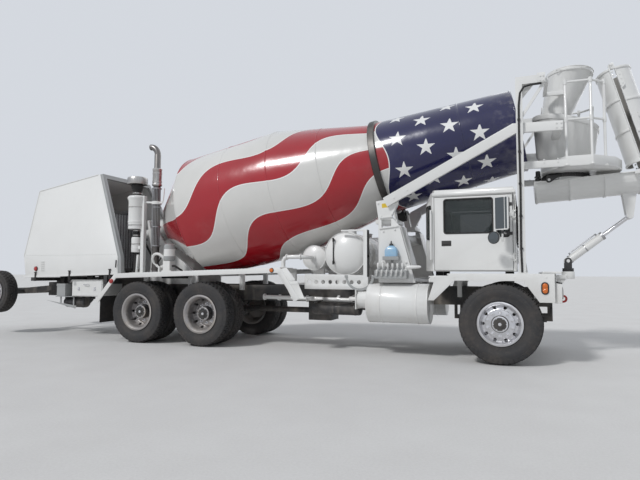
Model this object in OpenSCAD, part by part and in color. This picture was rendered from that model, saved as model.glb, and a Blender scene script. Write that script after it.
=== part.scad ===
// Front-discharge concrete mixer truck: front steer axle, rear tandem, raised trailing axle,
// rear engine, and a chute that swings, lifts and unfolds ahead of the cab.
// X runs forward, Y to the left, Z up from the ground. Lengths are in millimetres.

/* [Chassis] */
// Front axle to the first tandem axle
wheelbase = 4850; // [4600:10:5200]
// First tandem axle to the second
tandem_gap = 1340; // [1300:10:1420]
// Second tandem axle to the raised trailing axle
tag_gap = 3680; // [3600:10:3800]
// Overall width over the tyres and fenders
overall_w = 2440; // [2400:10:2550]
// Outer distance between the two frame rails
rail_spread = 860; // [820:10:900]
// Depth of a frame rail
rail_h = 270; // [220:5:300]
// Flange width of a frame rail
rail_w = 90; // [70:5:110]
// Plate thickness of a frame rail
rail_t = 10; // [6:1:14]
// Height of the rails' top face
rail_top = 1040; // [1020:5:1060]

/* [Wheels] */
// Outer diameter of a front tyre
front_tyre_d = 1124; // [1080:2:1130]
// Section width of a front tyre
front_tyre_w = 420; // [385:5:430]
// Outer diameter of a rear tyre
rear_tyre_d = 1104; // [1060:2:1120]
// Section width of a rear tyre
rear_tyre_w = 275; // [260:5:285]
// Centre distance of twin tyres
dual_gap = 330; // [320:2:340]
// Outer diameter of a trailing axle tyre
tag_tyre_d = 870; // [830:2:900]
// Section width of a trailing axle tyre
tag_tyre_w = 265; // [250:5:280]
// Height of the raised trailing axle
tag_axle_z = 860; // [800:5:900]

/* [Drum] */
// Largest radius of the drum
drum_r = 1166; // [1120:2:1190]
// Radius under the roller ring
drum_ring_r = 790; // [770:2:810]
// Radius of the drum's mouth
drum_mouth_r = 650; // [600:2:670]
// Plate thickness of the drum
drum_t = 12; // [6:1:16]
// Slope of the drum's axis
drum_tilt = 11.5; // [10.5:0.1:12]
// Width of the roller ring
ring_w = 110; // [90:5:140]
// Radial depth of the roller ring
ring_t = 40; // [30:2:55]
// Radius of a drum roller
roller_r = 130; // [115:1:140]

/* [Cab] */
// Width of the cab
cab_w = 2040; // [1960:10:2060]
// Height of the cab's floor line
cab_z = 1290; // [1280:5:1310]
// Height of the cab
cab_h = 1200; // [1150:5:1210]
// Thickness of the cab's walls and doors
cab_t = 40; // [30:2:50]

/* [Hood] */
// Width of the engine hood below its knee
hood_w = 2120; // [2000:10:2200]
// Width of the engine hood's top
hood_top_w = 1420; // [1300:10:1500]
// Plate thickness of the hood
hood_t = 25; // [15:1:35]

/* [Chute] */
// Inner radius of the main chute
chute_r = 290; // [260:5:300]
// Plate thickness of the chutes
chute_t = 8; // [6:1:12]
// Length of a folding chute
fold_len = 1600; // [1500:10:1650]
// Lean of the folded chutes from upright
fold_lean = 15; // [12:0.5:16]
// Half width of the service balcony
balcony_r = 840; // [800:5:850]
// Height of the stiffening bands round the chutes
band_h = 12; // [8:1:14]

/* [Hidden] */
$fn = 64;
clear = 0.3;
steel = [0.93, 0.93, 0.91];
grey = [0.45, 0.46, 0.47];
dark = [0.08, 0.08, 0.09];
rubber = [0.06, 0.06, 0.06];
bright = [0.75, 0.76, 0.78];
red = [0.62, 0.08, 0.10];
glass = [0.35, 0.45, 0.48];
amber = [0.95, 0.45, 0.05];
// Axle places along X, measured from the front axle
tandem_1_x = -wheelbase;
tandem_2_x = tandem_1_x - tandem_gap;
tag_x = tandem_2_x - tag_gap;
// The vertical axis that the chute swings about, and the chute's hinges as [x, z]
swing_x = 950;
chute_pivot = [700, 2660];
chute_end = [1980, 2738];
hinge_rise = 30;
fold_pivot = chute_end + [0, hinge_rise - 5];
tip_pivot = fold_pivot + fold_len * [-sin(fold_lean), cos(fold_lean)];
chute_slope = atan2(chute_end[1] - chute_pivot[1], chute_end[0] - chute_pivot[0]);
fold_depth = 260;
tip_depth = 140;
front_reach = fold_pivot[0] - 40 * sin(fold_lean) + (hinge_rise + fold_depth + band_h) * cos(fold_lean);
rear_reach = tag_tyre_d / 2 - tag_x;
// The part's origin is midway between its ends, so the front axle lies ahead of it
front_axle_x = (rear_reach - front_reach) / 2;
front_z = front_tyre_d / 2;
rear_z = rear_tyre_d / 2;
front_y = (overall_w - front_tyre_w) / 2;
rear_outer_y = (overall_w - rear_tyre_w) / 2;
rear_inner_y = rear_outer_y - dual_gap;
tag_y = (overall_w - tag_tyre_w) / 2 - 10;
kingpin_y = front_y - 160;
kingpin_r = 24;
half_w = overall_w / 2;
rail_y = rail_spread / 2;
rail_bottom = rail_top - rail_h;
// A point of the drum's axis and its stations [along the axis, outer radius]
drum_x = -4000;
drum_z = 2660;
drum_rear_s = -2370;
ring_s = 2155;
mouth_s = 4380;
drum_stations = [[drum_rear_s, 260], [-2230, 520], [-1455, drum_r], [400, drum_r],
                 [ring_s - 90, drum_ring_r], [ring_s + 90, drum_ring_r - 6], [mouth_s, drum_mouth_r]];
roller_angle = 35;
roller_pin_r = 35;
cab_rear_x = -1060;
cab_front_x = 230;
cab_chamfer = 130;
cab_slope_h = 200;
door_rear_x = -900;
door_front_x = 185;
door_gap = 8;
// A door's hinge axis as [x, y], and its hinges' heights over the floor line
hinge_at = [door_front_x + door_gap + 5, cab_w / 2 + 18];
hinge_heights = [200, 800];
hinge_r = 11;
hinge_pin_r = 6;
hinge_h = 60;
mast_x = 305;
mast_y = half_w - 135;
mast_w = 90;
beam_y = half_w - 220;
pedestal_t = 70;
pedestal_y = beam_y - pedestal_t;
deck_z = 1285;
fender_deck_z = 1255;
spindle_r = 34;
flap_in_y = 612;
balcony_z = 2760;
rim_slant = atan2(250, 950);
balcony_posts = [[915, balcony_r - 20], [1235, balcony_r - 20], [1420, 655]];
// Height of the sloping deck over the tandem, between its two ends
rear_deck_x = [-6690, -3330];
function rear_deck(x) = 1240 + (x - rear_deck_x[0]) * 105 / (rear_deck_x[1] - rear_deck_x[0]);
// The trailing axle's pivot, and the foot and eye of its ram, as [x, z]
tag_arm_pivot = [-8250, 1000];
tag_pin_r = 30;
tag_arm_y = 490;
tag_arm_w = 70;
tag_ram_foot = [-8450, 720];
tag_ram_eye = [-9300, 930];
ram_lug_y = 65;
tag_ram_pin_r = 20;
ram_foot = [swing_x, 1450];
ram_eye = [1790, 2110];

// Moves a piece whose X is measured from the front axle into the part's own frame
module from_axle() { translate([front_axle_x, 0, 0]) children(); }

// Mirrors a piece across the truck's middle
module both_sides() { for (side = [1, -1]) scale_y(side) children(); }
module scale_y(side) { if (side > 0) children(); else mirror([0, 1, 0]) children(); }

// A bar of rectangular section between two points [x, z] at one place in Y
module bar(p, q, y, w, h) {
    run = q - p;
    translate([p[0], y, p[1]]) rotate([0, -atan2(run[1], run[0]), 0])
        translate([0, -w / 2, -h / 2]) cube([norm(run), w, h]);
}

// A round tube or rod between two points in space
module rod(p, q, r) {
    run = q - p;
    translate(p) rotate([0, acos(run[2] / norm(run)), atan2(run[1], run[0])]) cylinder(r = r, h = norm(run));
}

// A plate in the XZ plane, from y to y + t
module side_plate(points, y, t) {
    translate([0, y + t, 0]) rotate([90, 0, 0]) linear_extrude(t) polygon(points);
}

// A wheel turned about Y, with the given half outline of [radius, across]
module wheel_turn(x, y, z, outline) {
    translate([x, y, z]) rotate([90, 0, 0]) rotate_extrude() polygon(outline);
}

// A tyre's section: bead, flank, rounded shoulder and a slightly crowned tread
module tyre(x, y, z, d, w, bead_d) {
    r = d / 2;
    b = bead_d / 2 + clear;
    wheel_turn(x, y, z, [
        [b, -w * 0.36], [b + 25, -w * 0.42], [(r + b) / 2, -w / 2], [r - 45, -w * 0.47], [r - 10, -w * 0.40],
        [r, 0], [r - 10, w * 0.40], [r - 45, w * 0.47], [(r + b) / 2, w / 2], [b + 25, w * 0.42], [b, w * 0.36]]);
}

// A disc wheel: rim with two flanges, a disc at disc_y from the rim's middle that is dished by the given
// depth, the flange under its nuts, and a hub that ends hub_out from the rim's middle
module rim(x, y, z, bead_d, w, disc_y, dish, hub_r, hub_out, hand, hole_count) {
    b = bead_d / 2;
    lip = 22;
    t = 12;
    flange_r = 0.66 * b;
    flange_t = 13;
    difference() {
        union() {
            wheel_turn(x, y, z, [
                [b - t - 26, -w * 0.30], [b - t, -w * 0.36], [b + lip - t, -w * 0.42], [b + lip - t, -w * 0.42 - t],
                [b - t - 8, -w * 0.42 - t], [b - 2 * t - 32, -w * 0.30], [b - 2 * t - 32, w * 0.30],
                [b - t - 8, w * 0.42 + t], [b + lip - t, w * 0.42 + t], [b + lip - t, w * 0.42],
                [b - t, w * 0.36], [b - t - 26, w * 0.30]]);
            translate([x, y + hand * disc_y, z]) scale_y(-hand) rotate([90, 0, 0]) rotate_extrude()
                polygon([[0, -t], [flange_r, -t], [b - t - 28, dish - t], [b - t - 28, dish + t], [flange_r + 6, t],
                         [flange_r, t + flange_t], [0, t + flange_t]]);
            translate([x, y + hand * disc_y, z]) rotate([hand * -90, 0, 0]) cylinder(r = hub_r, h = hub_out - disc_y);
        }
        for (i = [0:hole_count - 1])
            translate([x, y + hand * disc_y, z]) rotate([0, 360 / hole_count * (i + 0.5), 0])
                translate([0, 0, b * 0.77]) rotate([90, 0, 0]) cylinder(r = 22, h = 150, center = true);
    }
}

module frame_rails() from_axle() color(grey) {
    rear_x = tag_arm_pivot[0] - 950;
    front_x = 700;
    both_sides() {
        difference() {
            translate([rear_x, rail_y - rail_w, rail_bottom]) cube([front_x - rear_x, rail_w, rail_h]);
            translate([rear_x - 1, rail_y - rail_w - 1, rail_bottom + rail_t])
                cube([front_x - rear_x + 2, rail_w - rail_t + 1, rail_h - 2 * rail_t]);
        }
        // Plate and pin that carry a trailing arm
        side_plate([[tag_arm_pivot[0] - 160, rail_top - 15], [tag_arm_pivot[0] + 260, rail_top - 15],
                    [tag_arm_pivot[0] + 60, rail_bottom + 60], [tag_arm_pivot[0] - 60, rail_bottom + 60]], rail_y, 12);
        translate([tag_arm_pivot[0], rail_y, tag_arm_pivot[1]]) rotate([-90, 0, 0])
            cylinder(r = tag_pin_r, h = tag_arm_y + tag_arm_w / 2 - rail_y + 12);
        // Lugs of the trailing axle's ram
        difference() {
            side_plate([[tag_ram_foot[0] - 60, rail_bottom + 50], [tag_ram_foot[0] + 60, rail_bottom + 50],
                        [tag_ram_foot[0] + 45, tag_ram_foot[1] - 40], [tag_ram_foot[0] - 45, tag_ram_foot[1] - 40]],
                       ram_lug_y, 15);
            translate([tag_ram_foot[0], ram_lug_y + 7.5, tag_ram_foot[1]]) rotate([90, 0, 0])
                cylinder(r = tag_ram_pin_r + 0.05, h = 18, center = true);
        }
        // Mounts of the cab, and seats of the hood's cross bars
        for (x = [-980, 60]) translate([x, rail_y - rail_w + 5, rail_top]) cube([110, rail_w - 10, cab_z - rail_top]);
        translate([hood_bar_x, rail_y - rail_w, rail_top]) cube([80, rail_w, 45]);
    }
    for (x = [tag_ram_foot[0] - 60, -7700, -7000, -5520, -4100, -3000, -1400, 420])
        translate([x, -rail_y + rail_t, rail_bottom + 40]) cube([120, 2 * (rail_y - rail_t), rail_h - 80]);
    // Cross bars that the hood stands on, and the plate over the rails' rear end
    translate([hood_bar_x, -hood_w / 2, rail_top + 45]) cube([80, hood_w, hood_bottom(hood_bar_x) - rail_top - 45]);
    translate([-7100, -hood_w / 2, rail_top]) cube([80, hood_w, hood_bottom(-7100) - rail_top]);
    translate([rear_x, -rail_y, rail_top]) cube([140, 2 * rail_y, 12]);
    // Tool box slung outside the rail under the hood
    both_sides() translate([-7980, rail_y, 800]) cube([450, 520, 240]);
}

module front_bumper() from_axle() color(steel) {
    hook_x = 835;
    translate([700, -half_w + 60, 860]) cube([90, overall_w - 120, 260]);
    translate([560, -half_w + 60, deck_z - 30]) cube([230, overall_w - 120, 30]);
    translate([700, -400, 1120]) cube([60, 800, deck_z - 1120 - 15]);
    // Swivel bracket ahead of the bumper, under the chute's ram
    translate([790, -110, 1180]) cube([130, 220, 60]);
    translate([swing_x, 0, 1180]) cylinder(r = 90, h = 110);
    // Tow hooks: an eye on a shank that runs into the bumper
    both_sides() translate([hook_x, 600, 900]) rotate([90, 0, 0]) difference() {
        union() {
            cylinder(r = 55, h = 30);
            translate([-75, -30, 0]) cube([75, 60, 30]);
        }
        translate([0, 0, -1]) cylinder(r = 28, h = 32);
    }
}

module front_fenders() from_axle() color(steel) both_sides() {
    skin = 10;
    side_plate([[-890, 870], [-600, 1155], [310, 1155], [510, 870], [700 - clear, 870], [700 - clear, 1255],
                [-620, 1255], [-700, 1225], [-900, 1225], [-960, 1180], [-960, 1130], [-890, 1130], [-975, 870]],
               half_w - skin, skin);
    // Deck of the fender, from the cab's side to the outer skin
    translate([-700, 700, fender_deck_z - 20]) cube([1260 - clear, half_w - 700, 20]);
    translate([-960, 700, 1200]) cube([280, half_w - 700, 20]);
    // Sloping splash plate behind the wheel
    bar([-975, 870], [-620, 1225], (700 + half_w) / 2, half_w - 700, skin);
    // Brackets from the rail
    for (x = [-650, 450]) translate([x, rail_y, fender_deck_z - 80]) cube([70, half_w - 20 - rail_y, 62]);
    for (x = [-650, 450]) translate([x, rail_y, rail_top - 150]) cube([70, 12, fender_deck_z - rail_top + 90]);
}

module axles() from_axle() color(dark) {
    // Dropped front beam with a boss at each kingpin
    difference() {
        union() {
            translate([-60, -560, 430]) cube([120, 1120, 110]);
            both_sides() {
                hull() {
                    translate([-60, 540, 430]) cube([120, 20, 110]);
                    translate([-55, kingpin_y - 130, front_z - 60]) cube([110, 40, 120]);
                }
                translate([-50, kingpin_y - 95, front_z - 60]) cube([100, 95, 120]);
                translate([0, kingpin_y, front_z - 60]) cylinder(r = 60, h = 120);
            }
        }
        both_sides() translate([0, kingpin_y, front_z - 61]) cylinder(r = kingpin_r + clear, h = 122);
    }
    // Front leaf springs under the rails
    both_sides() {
        translate([-700, rail_y - 85, 560]) cube([1400, 80, 60]);
        for (x = [-700, 660]) translate([x, rail_y - 85, 560]) cube([40, 80, rail_bottom - 560]);
        translate([-60, rail_y - 85, 530]) cube([120, 80, 40]);
    }
    // Tandem axles with their differential bowls and walking beams
    for (x = [tandem_1_x, tandem_2_x]) {
        translate([x, 0, rear_z]) rotate([90, 0, 0]) cylinder(r = 75, h = 2 * (rear_inner_y - 150), center = true);
        translate([x, 0, rear_z]) sphere(r = 210);
        both_sides() translate([x, rear_inner_y - 160, rear_z]) rotate([-90, 0, 0]) cylinder(r = spindle_r, h = 330);
    }
    both_sides() {
        translate([tandem_2_x, rail_y - 90, rear_z - 130]) cube([tandem_gap, 80, 120]);
        side_plate([[tandem_2_x + tandem_gap / 2 - 260, rail_bottom], [tandem_2_x + tandem_gap / 2 + 260, rail_bottom],
                    [tandem_2_x + tandem_gap / 2 + 90, rear_z - 120], [tandem_2_x + tandem_gap / 2 - 90, rear_z - 120]],
                   rail_y - 90, 80);
    }
    // Drive shafts between the axles and forward to the transfer case
    for (run = [[tandem_2_x + 150, tandem_gap - 300], [tandem_1_x + 150, 1500]])
        translate([run[0], 0, rear_z + 40]) rotate([0, 90, 0]) cylinder(r = 50, h = run[1]);
    translate([tandem_1_x + 1600, -200, rear_z - 120]) cube([420, 400, rail_bottom + 40 - rear_z + 120]);
}

// Outline of the cab seen from above, with chamfered rear corners
module cab_plan(inset) {
    w = cab_w / 2 - inset;
    r = cab_rear_x + inset;
    f = cab_front_x - inset;
    c = cab_chamfer;
    polygon([[f, -w], [f, w], [r + c, w], [r, w - c * 1.6], [r, -w + c * 1.6], [r + c, -w]]);
}

// The cab's block, whose roof slopes down at the rear, shrunk by inset on every side
module cab_block(inset, top) intersection() {
    translate([0, 0, cab_z + inset]) linear_extrude(top - inset) cab_plan(inset);
    side_plate([[cab_rear_x + inset, cab_z - 1], [cab_front_x, cab_z - 1], [cab_front_x, cab_z + cab_h + 1],
                [cab_rear_x + cab_chamfer + inset * 0.5, cab_z + cab_h + 1 - inset],
                [cab_rear_x + inset, cab_z + cab_h - cab_slope_h - inset * 0.7]], -cab_w, 2 * cab_w);
}

module cab_shell() from_axle() color(steel) {
    door_z = cab_z + 15;
    door_h = cab_h - 130;
    difference() {
        union() {
            cab_block(0, cab_h - 40);
            // Roof cap, set in from the walls, and the rain gutters
            intersection() {
                translate([0, 0, cab_z + cab_h - 41]) linear_extrude(41) cab_plan(25);
                cab_block(0, cab_h);
            }
            both_sides() translate([cab_rear_x + cab_chamfer, cab_w / 2 - 5, cab_z + cab_h - 90])
                cube([cab_front_x - cab_rear_x - cab_chamfer, 25, 22]);
            // Pins of the doors' hinges, between lugs on the wall
            both_sides() for (dz = hinge_heights) translate([0, 0, cab_z + dz]) {
                translate([hinge_at[0], hinge_at[1], -hinge_h]) cylinder(r = hinge_pin_r, h = 2 * hinge_h);
                for (low = [-hinge_h, hinge_h / 2 + clear]) {
                    translate([hinge_at[0], hinge_at[1], low]) cylinder(r = hinge_r, h = hinge_h / 2 - clear);
                    translate([hinge_at[0], cab_w / 2 - 5, low]) cube([22, hinge_at[1] - cab_w / 2 + 5, hinge_h / 2 - clear]);
                }
            }
            // Grab handle behind the door
            both_sides() {
                translate([cab_rear_x + cab_chamfer - 20, cab_w / 2 + 45, cab_z + 160]) cylinder(r = 12, h = 740);
                for (dz = [170, 890]) translate([cab_rear_x + cab_chamfer - 20, cab_w / 2 - 45, cab_z + dz])
                    rotate([-90, 0, 0]) cylinder(r = 10, h = 92);
            }
        }
        cab_block(cab_t, cab_h - cab_t);
        // Door openings
        both_sides() translate([door_rear_x - door_gap, cab_w / 2 - cab_t - 1, door_z - door_gap])
            cube([door_front_x - door_rear_x + 2 * door_gap, cab_t + 2, door_h + 2 * door_gap]);
        // Windscreen, rear window and the narrow windows of the chamfers
        translate([cab_front_x - cab_t - 1, -cab_w / 2 + 110, cab_z + 420])
            cube([cab_t + 2, cab_w - 220, 650]);
        rear_pane(cab_rear_x - 1, cab_t + 2, 0);
        both_sides() chamfer_pane(cab_t + 30, 0);
    }
}

// The rear window, from one X on
module rear_pane(x, t, inset) {
    translate([x, -560 + inset, cab_z + 500 + inset]) cube([t, 1120 - 2 * inset, 420 - 2 * inset]);
}

// The narrow pane across a rear corner of the cab
module chamfer_pane(t, inset) {
    mid_x = cab_rear_x + cab_chamfer / 2;
    mid_y = cab_w / 2 - cab_chamfer * 0.8;
    rotate_at = atan2(cab_chamfer, cab_chamfer * 1.6);
    translate([mid_x, mid_y, cab_z + 480 + inset]) rotate([0, 0, -rotate_at])
        translate([-t / 2 + 10, -75 + inset, 0]) cube([t, 150 - 2 * inset, 490 - 2 * inset]);
}

module cab_glass() from_axle() color(glass) {
    inset = 1;
    translate([cab_front_x - 24, -cab_w / 2 + 110 + inset, cab_z + 420 + inset])
        cube([8, cab_w - 220 - 2 * inset, 650 - 2 * inset]);
    rear_pane(cab_rear_x + 16, 8, inset);
    both_sides() chamfer_pane(8, inset);
}

module cab_interior() from_axle() color(dark) {
    // Driver's seat on its pedestal, in the middle of the cab
    translate([-760, -250, cab_z + cab_t]) cube([420, 500, 300]);
    translate([-800, -250, cab_z + cab_t + 300]) cube([500, 500, 110]);
    hull() {
        translate([-860, -230, cab_z + cab_t + 300]) cube([110, 460, 60]);
        translate([-900, -190, cab_z + cab_t + 860]) cube([90, 380, 60]);
    }
    // Dash, column and steering wheel
    translate([cab_front_x - cab_t - 200, -cab_w / 2 + cab_t + 120, cab_z + cab_t])
        cube([200, cab_w - 2 * cab_t - 240, 400]);
    rod([60, 0, cab_z + cab_t + 390], [-200, 0, cab_z + cab_t + 620], 28);
    translate([-200, 0, cab_z + cab_t + 620]) rotate([0, -48, 0]) rotate_extrude() translate([220, 0]) circle(r = 18);
    translate([-200, 0, cab_z + cab_t + 620]) rotate([0, -48, 0]) {
        cube([440, 36, 14], center = true);
        cube([36, 440, 14], center = true);
    }
}

module mast_frame() from_axle() color(steel) {
    top_z = 4010;
    both_sides() {
        translate([mast_x - mast_w / 2, mast_y - mast_w / 2, fender_deck_z]) cube([mast_w, mast_w, top_z - fender_deck_z]);
        // Upper arm towards the hopper, and its brace
        translate([mast_x - mast_w / 2, mast_y - mast_w / 2, top_z - 110]) cube([390, mast_w, 110]);
        translate([mast_x + 240, mast_y - mast_w / 2, top_z - 110]) cube([106, mast_w + 12, 132]);
        bar([mast_x + 330, top_z - 100], [mast_x + 10, 3420], mast_y, 30, 40);
        // Sloping side beam from the front pedestal to the collector's bracket
        side_plate([[-1674, 2407], [214, 3376], [862, 3355], [858, 3225], [268, 3241], [-1606, 2273]], beam_y, 60);
    }
    translate([mast_x - 30, -mast_y, top_z - 90]) cube([60, 2 * mast_y, 60]);
}

// An oval slice of a funnel, from z up
module rounded_ring(x, half_x, half_y, z, h = 2) {
    translate([x, 0, z]) linear_extrude(h) scale([half_x / half_y, 1]) circle(r = half_y, $fn = 40);
}

module charge_hopper() from_axle() color(steel) {
    difference() {
        union() {
            hull() {
                rounded_ring(1040, 330, 420, 4330);
                rounded_ring(830, 210, 260, 3660);
            }
            rounded_ring(1035, 336, 426, 4286, 46);
            rounded_ring(836, 222, 272, 3672, 30);
        }
        hull() {
            rounded_ring(1040, 322, 412, 4333);
            rounded_ring(830, 202, 252, 3657);
        }
    }
    // Arms out to the masts' upper arms
    arm_in = 380;
    both_sides() translate([640, arm_in, 3920]) cube([50, mast_y - mast_w / 2 - arm_in, 60]);
    both_sides() translate([640, arm_in, 3920]) cube([300, 40, 60]);
}

// The collector's skin grown by the given amount: a funnel down to a tub, whose foot draws in over the ring
module collector_skin(grow, poke = 0) {
    hull() {
        rounded_ring(980, 485 + grow, 560 + grow, 3720 + poke);
        rounded_ring(955, 412 + grow, 430 + grow, 3060);
    }
    hull() {
        rounded_ring(955, 412 + grow, 430 + grow, 3060);
        rounded_ring(swing_x, 300 + grow, 300 + grow, 2890 - poke);
    }
}

// A slab over the collector whose underside slants from the rim's rear to its front
module over_rim(drop, h) translate([500, -700, 3690 - drop]) rotate([0, rim_slant, 0]) translate([-200, 0, 0])
    cube([1500, 1400, h]);

module collector() from_axle() color(steel) {
    difference() {
        union() {
            collector_skin(0);
            intersection() {
                collector_skin(12);
                over_rim(70, 72);
            }
            both_sides() translate([740, 420, 3240]) cube([110, beam_y - 420, 60]);
        }
        collector_skin(-8, 3);
        over_rim(0, 400);
    }
}

module service_balcony() from_axle() color(steel) {
    plan = [[600, -430], [900, -balcony_r], [1245, -balcony_r], [1560, -560], [1680, -250], [1680, 250], [1560, 560],
            [1245, balcony_r], [900, balcony_r], [600, 430]];
    skirt = 140;
    difference() {
        translate([0, 0, balcony_z]) linear_extrude(skirt) polygon(plan);
        translate([0, 0, balcony_z + 8]) linear_extrude(skirt) offset(delta = -8) polygon(plan);
        translate([swing_x, 0, balcony_z - 1]) cylinder(r = 300, h = 20);
    }
    // Arms back to the masts, posts and rails
    both_sides() {
        translate([mast_x - 30, balcony_r - 60, balcony_z]) cube([640, 60, 100]);
        translate([mast_x - 30, balcony_r - 60, balcony_z]) cube([60, mast_y - mast_w / 2 - balcony_r + 60, 100]);
        for (post = balcony_posts) translate([post[0], post[1], balcony_z + 4]) cylinder(r = 19, h = 1220);
        for (z = [3420, 3960], i = [0:1]) rod([balcony_posts[i][0], balcony_posts[i][1], z],
                                              [balcony_posts[i + 1][0], balcony_posts[i + 1][1], z], 16);
    }
}

// A cylindrical tank along Z, centred, whose ends bulge by the given rise
module domed_tank(r, len, rise) {
    ball = (r * r + rise * rise) / (2 * rise);
    turn = asin(r / ball);
    cap = [for (i = [0:6]) [ball * sin(turn * i / 6), ball * cos(turn * i / 6) - (ball - rise)]];
    rotate_extrude() polygon(concat([for (p = cap) [p[0], len / 2 + p[1]]],
                                    [for (i = [6:-1:0]) [cap[i][0], -len / 2 - cap[i][1]]]));
}

module water_tanks() from_axle() color(steel) {
    plate_y = pedestal_y + 42;
    // Big water tank across the truck, with domed ends
    translate([-2350, 0, 1570]) rotate([90, 0, 0]) domed_tank(340, 1700, 110);
    both_sides() for (y = [300, 640]) translate([-2350, y, 1570]) rotate([90, 0, 0]) cylinder(r = 347, h = 45);
    // Bracket plates outside the rails, with holes, and the guard strap beside each end of the big tank
    both_sides() {
        difference() {
            side_plate([[-3000, 1000], [-1935, 1000], [-1935, 1190], [-1990, 1225], [-2720, 1240], [-3000, 1240]], plate_y, 12);
            for (x = [-2920:120:-2080]) translate([x, plate_y + 6, 1115]) rotate([90, 0, 0])
                cylinder(r = 32, h = 20, center = true);
        }
        for (x = [-2960, -2000]) translate([x, rail_y, 1020]) cube([70, plate_y + 2 - rail_y, 60]);
        translate([-2010, plate_y - 30, 1150]) cube([60, 42, 780]);
        translate([-2380, plate_y - 30, 1918]) cube([430, 42, 24]);
    }
    // Saddles on the rails
    for (side = [1, -1]) translate([-2640, side * (rail_y - rail_w / 2) - 35, rail_top]) cube([580, 70, 300]);
    // Small tank behind it
    translate([-2980, 0, 1515]) rotate([90, 0, 0]) domed_tank(205, 1240, 60);
    for (side = [1, -1]) translate([-3080, side * (rail_y - rail_w / 2) - 35, rail_top]) cube([200, 70, 300]);
}

module front_pedestal() from_axle() color(steel) {
    base_z = 1115;
    // Head and tower at each side, with a window under the head
    both_sides() {
        difference() {
            side_plate([[-1760, base_z], [-1200, base_z], [-1259, 1329], [-1434, 1984], [-1555, 2130], [-1450, 2320],
                        [-1460, 2410], [-1800, 2370], [-1760, 2100]], pedestal_y, pedestal_t);
            translate([-1710, pedestal_y - 1, 1960]) cube([150, pedestal_t + 2, 120]);
        }
        // Sloping front plate of the tower, in to the drum's side
        bar([-1245, 1329], [-1425, 1984], pedestal_y - 165, 400, 12);
        // Shelf under the roller
        translate([-1820, 460, 2025]) cube([340, pedestal_y - 450, 60]);
        translate([-1760, rail_y - 85, rail_top]) cube([540, 80, base_z - rail_top]);
    }
    translate([-1760, 10 - beam_y, base_z]) cube([540, 2 * beam_y - 20, 70]);
    translate([-1760, -pedestal_y - 10, 1780]) cube([300, 2 * pedestal_y + 20, 110]);
    // Ears that hold the roller pins
    both_sides() roller_place() for (s = [-1, 1]) translate([s * 110, 0, 0]) rotate([0, 90, 0]) {
        difference() {
            hull() {
                cylinder(r = 60, h = 24, center = true, $fn = 32);
                translate([240, 0, 0]) cube([60, 150, 24], center = true);
            }
            cylinder(r = roller_pin_r + 0.05, h = 26, center = true);
        }
    }
}

// Brings children to a drum roller: X along the roller's axis
module roller_place() {
    reach = drum_ring_r + ring_t + roller_r + 0.5;
    drum_axis_frame() translate([ring_s, sin(roller_angle) * reach, -cos(roller_angle) * reach]) children();
}

// Brings children to the drum's axis: X along it, up to the front
module drum_axis_frame() { translate([drum_x, 0, drum_z]) rotate([0, -drum_tilt, 0]) children(); }

module roller(side) from_axle() color(dark) scale_y(side) roller_place() rotate([0, 90, 0]) {
    difference() {
        cylinder(r = roller_r, h = ring_w + 30, center = true);
        for (end = [1, -1]) translate([0, 0, end * (ring_w / 2 + 15)]) cylinder(r = roller_r - 40, h = 24, center = true);
    }
    cylinder(r = roller_pin_r, h = 260, center = true);
}

module rear_pedestal() from_axle() color(steel) {
    // Side plates that lean back behind the drum's rear cone
    both_sides() side_plate([[-6560, rail_top], [-5440, rail_top], [-5440, 1230], [-5800, 1480], [-6100, 1700],
                             [-6330, 2000], [-6400, 2090], [-6560, 2130], [-6520, 1700]], 370, 50);
    drum_axis_frame() difference() {
        translate([drum_rear_s - 300, -420, -400]) cube([50, 840, 560]);
        translate([drum_rear_s - 301, 0, 0]) rotate([0, 90, 0]) cylinder(r = 150 + clear, h = 52);
    }
    translate([-6500, -400, 1280]) cube([300, 800, 50]);
}

module drum_gearbox() from_axle() color(steel) drum_axis_frame() {
    translate([drum_rear_s - 250, 0, 0]) rotate([0, 90, 0]) cylinder(r = 200, h = 190 - clear);
    translate([drum_rear_s - 520, 0, 0]) rotate([0, 90, 0]) cylinder(r = 150, h = 275);
    translate([drum_rear_s - 700, 0, 0]) rotate([0, 90, 0]) cylinder(r = 90, h = 185);
}

module drum() from_axle() color(red) drum_axis_frame() rotate([0, 90, 0]) {
    outer = [for (p = drum_stations) [p[1], p[0]]];
    last = len(drum_stations) - 1;
    inner = [for (i = [last:-1:1]) [drum_stations[i][1] - drum_t, drum_stations[i][0] + (i == 1 ? drum_t : 0)]];
    rotate_extrude($fn = 72) polygon(concat([[0, drum_rear_s]], outer, inner, [[0, drum_stations[1][0] + drum_t]]));
    // Roller ring
    translate([0, 0, ring_s]) difference() {
        cylinder(r = drum_ring_r + ring_t, h = ring_w, center = true, $fn = 96);
        cylinder(r = drum_ring_r - drum_t, h = ring_w + 2, center = true);
    }
    // Output flange
    translate([0, 0, drum_rear_s - 60]) cylinder(r = 230, h = 61);
}

// Outline of the hood's side from the front axle
hood_side = [[-9130, 1150], [-6690, 1225], [-6710, 1560], [-7530, 3240], [-9160, 2960], [-9200, 1575]];
hood_slope = (3240 - 2960) / (9160 - 7530);
hood_bar_x = -8980;
function hood_bottom(x) = 1150 + (x + 9130) * (1225 - 1150) / (9130 - 6690);

// Side outline of the space inside the hood, open below and ahead
function hood_cavity(inset) = [[-9130 + inset, 900], [-5900, 900],
    [-5900, 2960 + 3260 * hood_slope - inset / cos(atan(hood_slope))],
    [-9160 + inset, 2960 + inset * hood_slope - inset / cos(atan(hood_slope))], [-9200 + inset, 1575]];

// Everything ahead of the plane where the hood's shell meets its front frame
module hood_front_band() translate([0, hood_w, 0]) rotate([90, 0, 0]) linear_extrude(2 * hood_w)
    polygon([[-6760, 900], [-6780, 1560], [-7620, 3281], [-6000, 3400], [-6000, 900]]);

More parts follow.
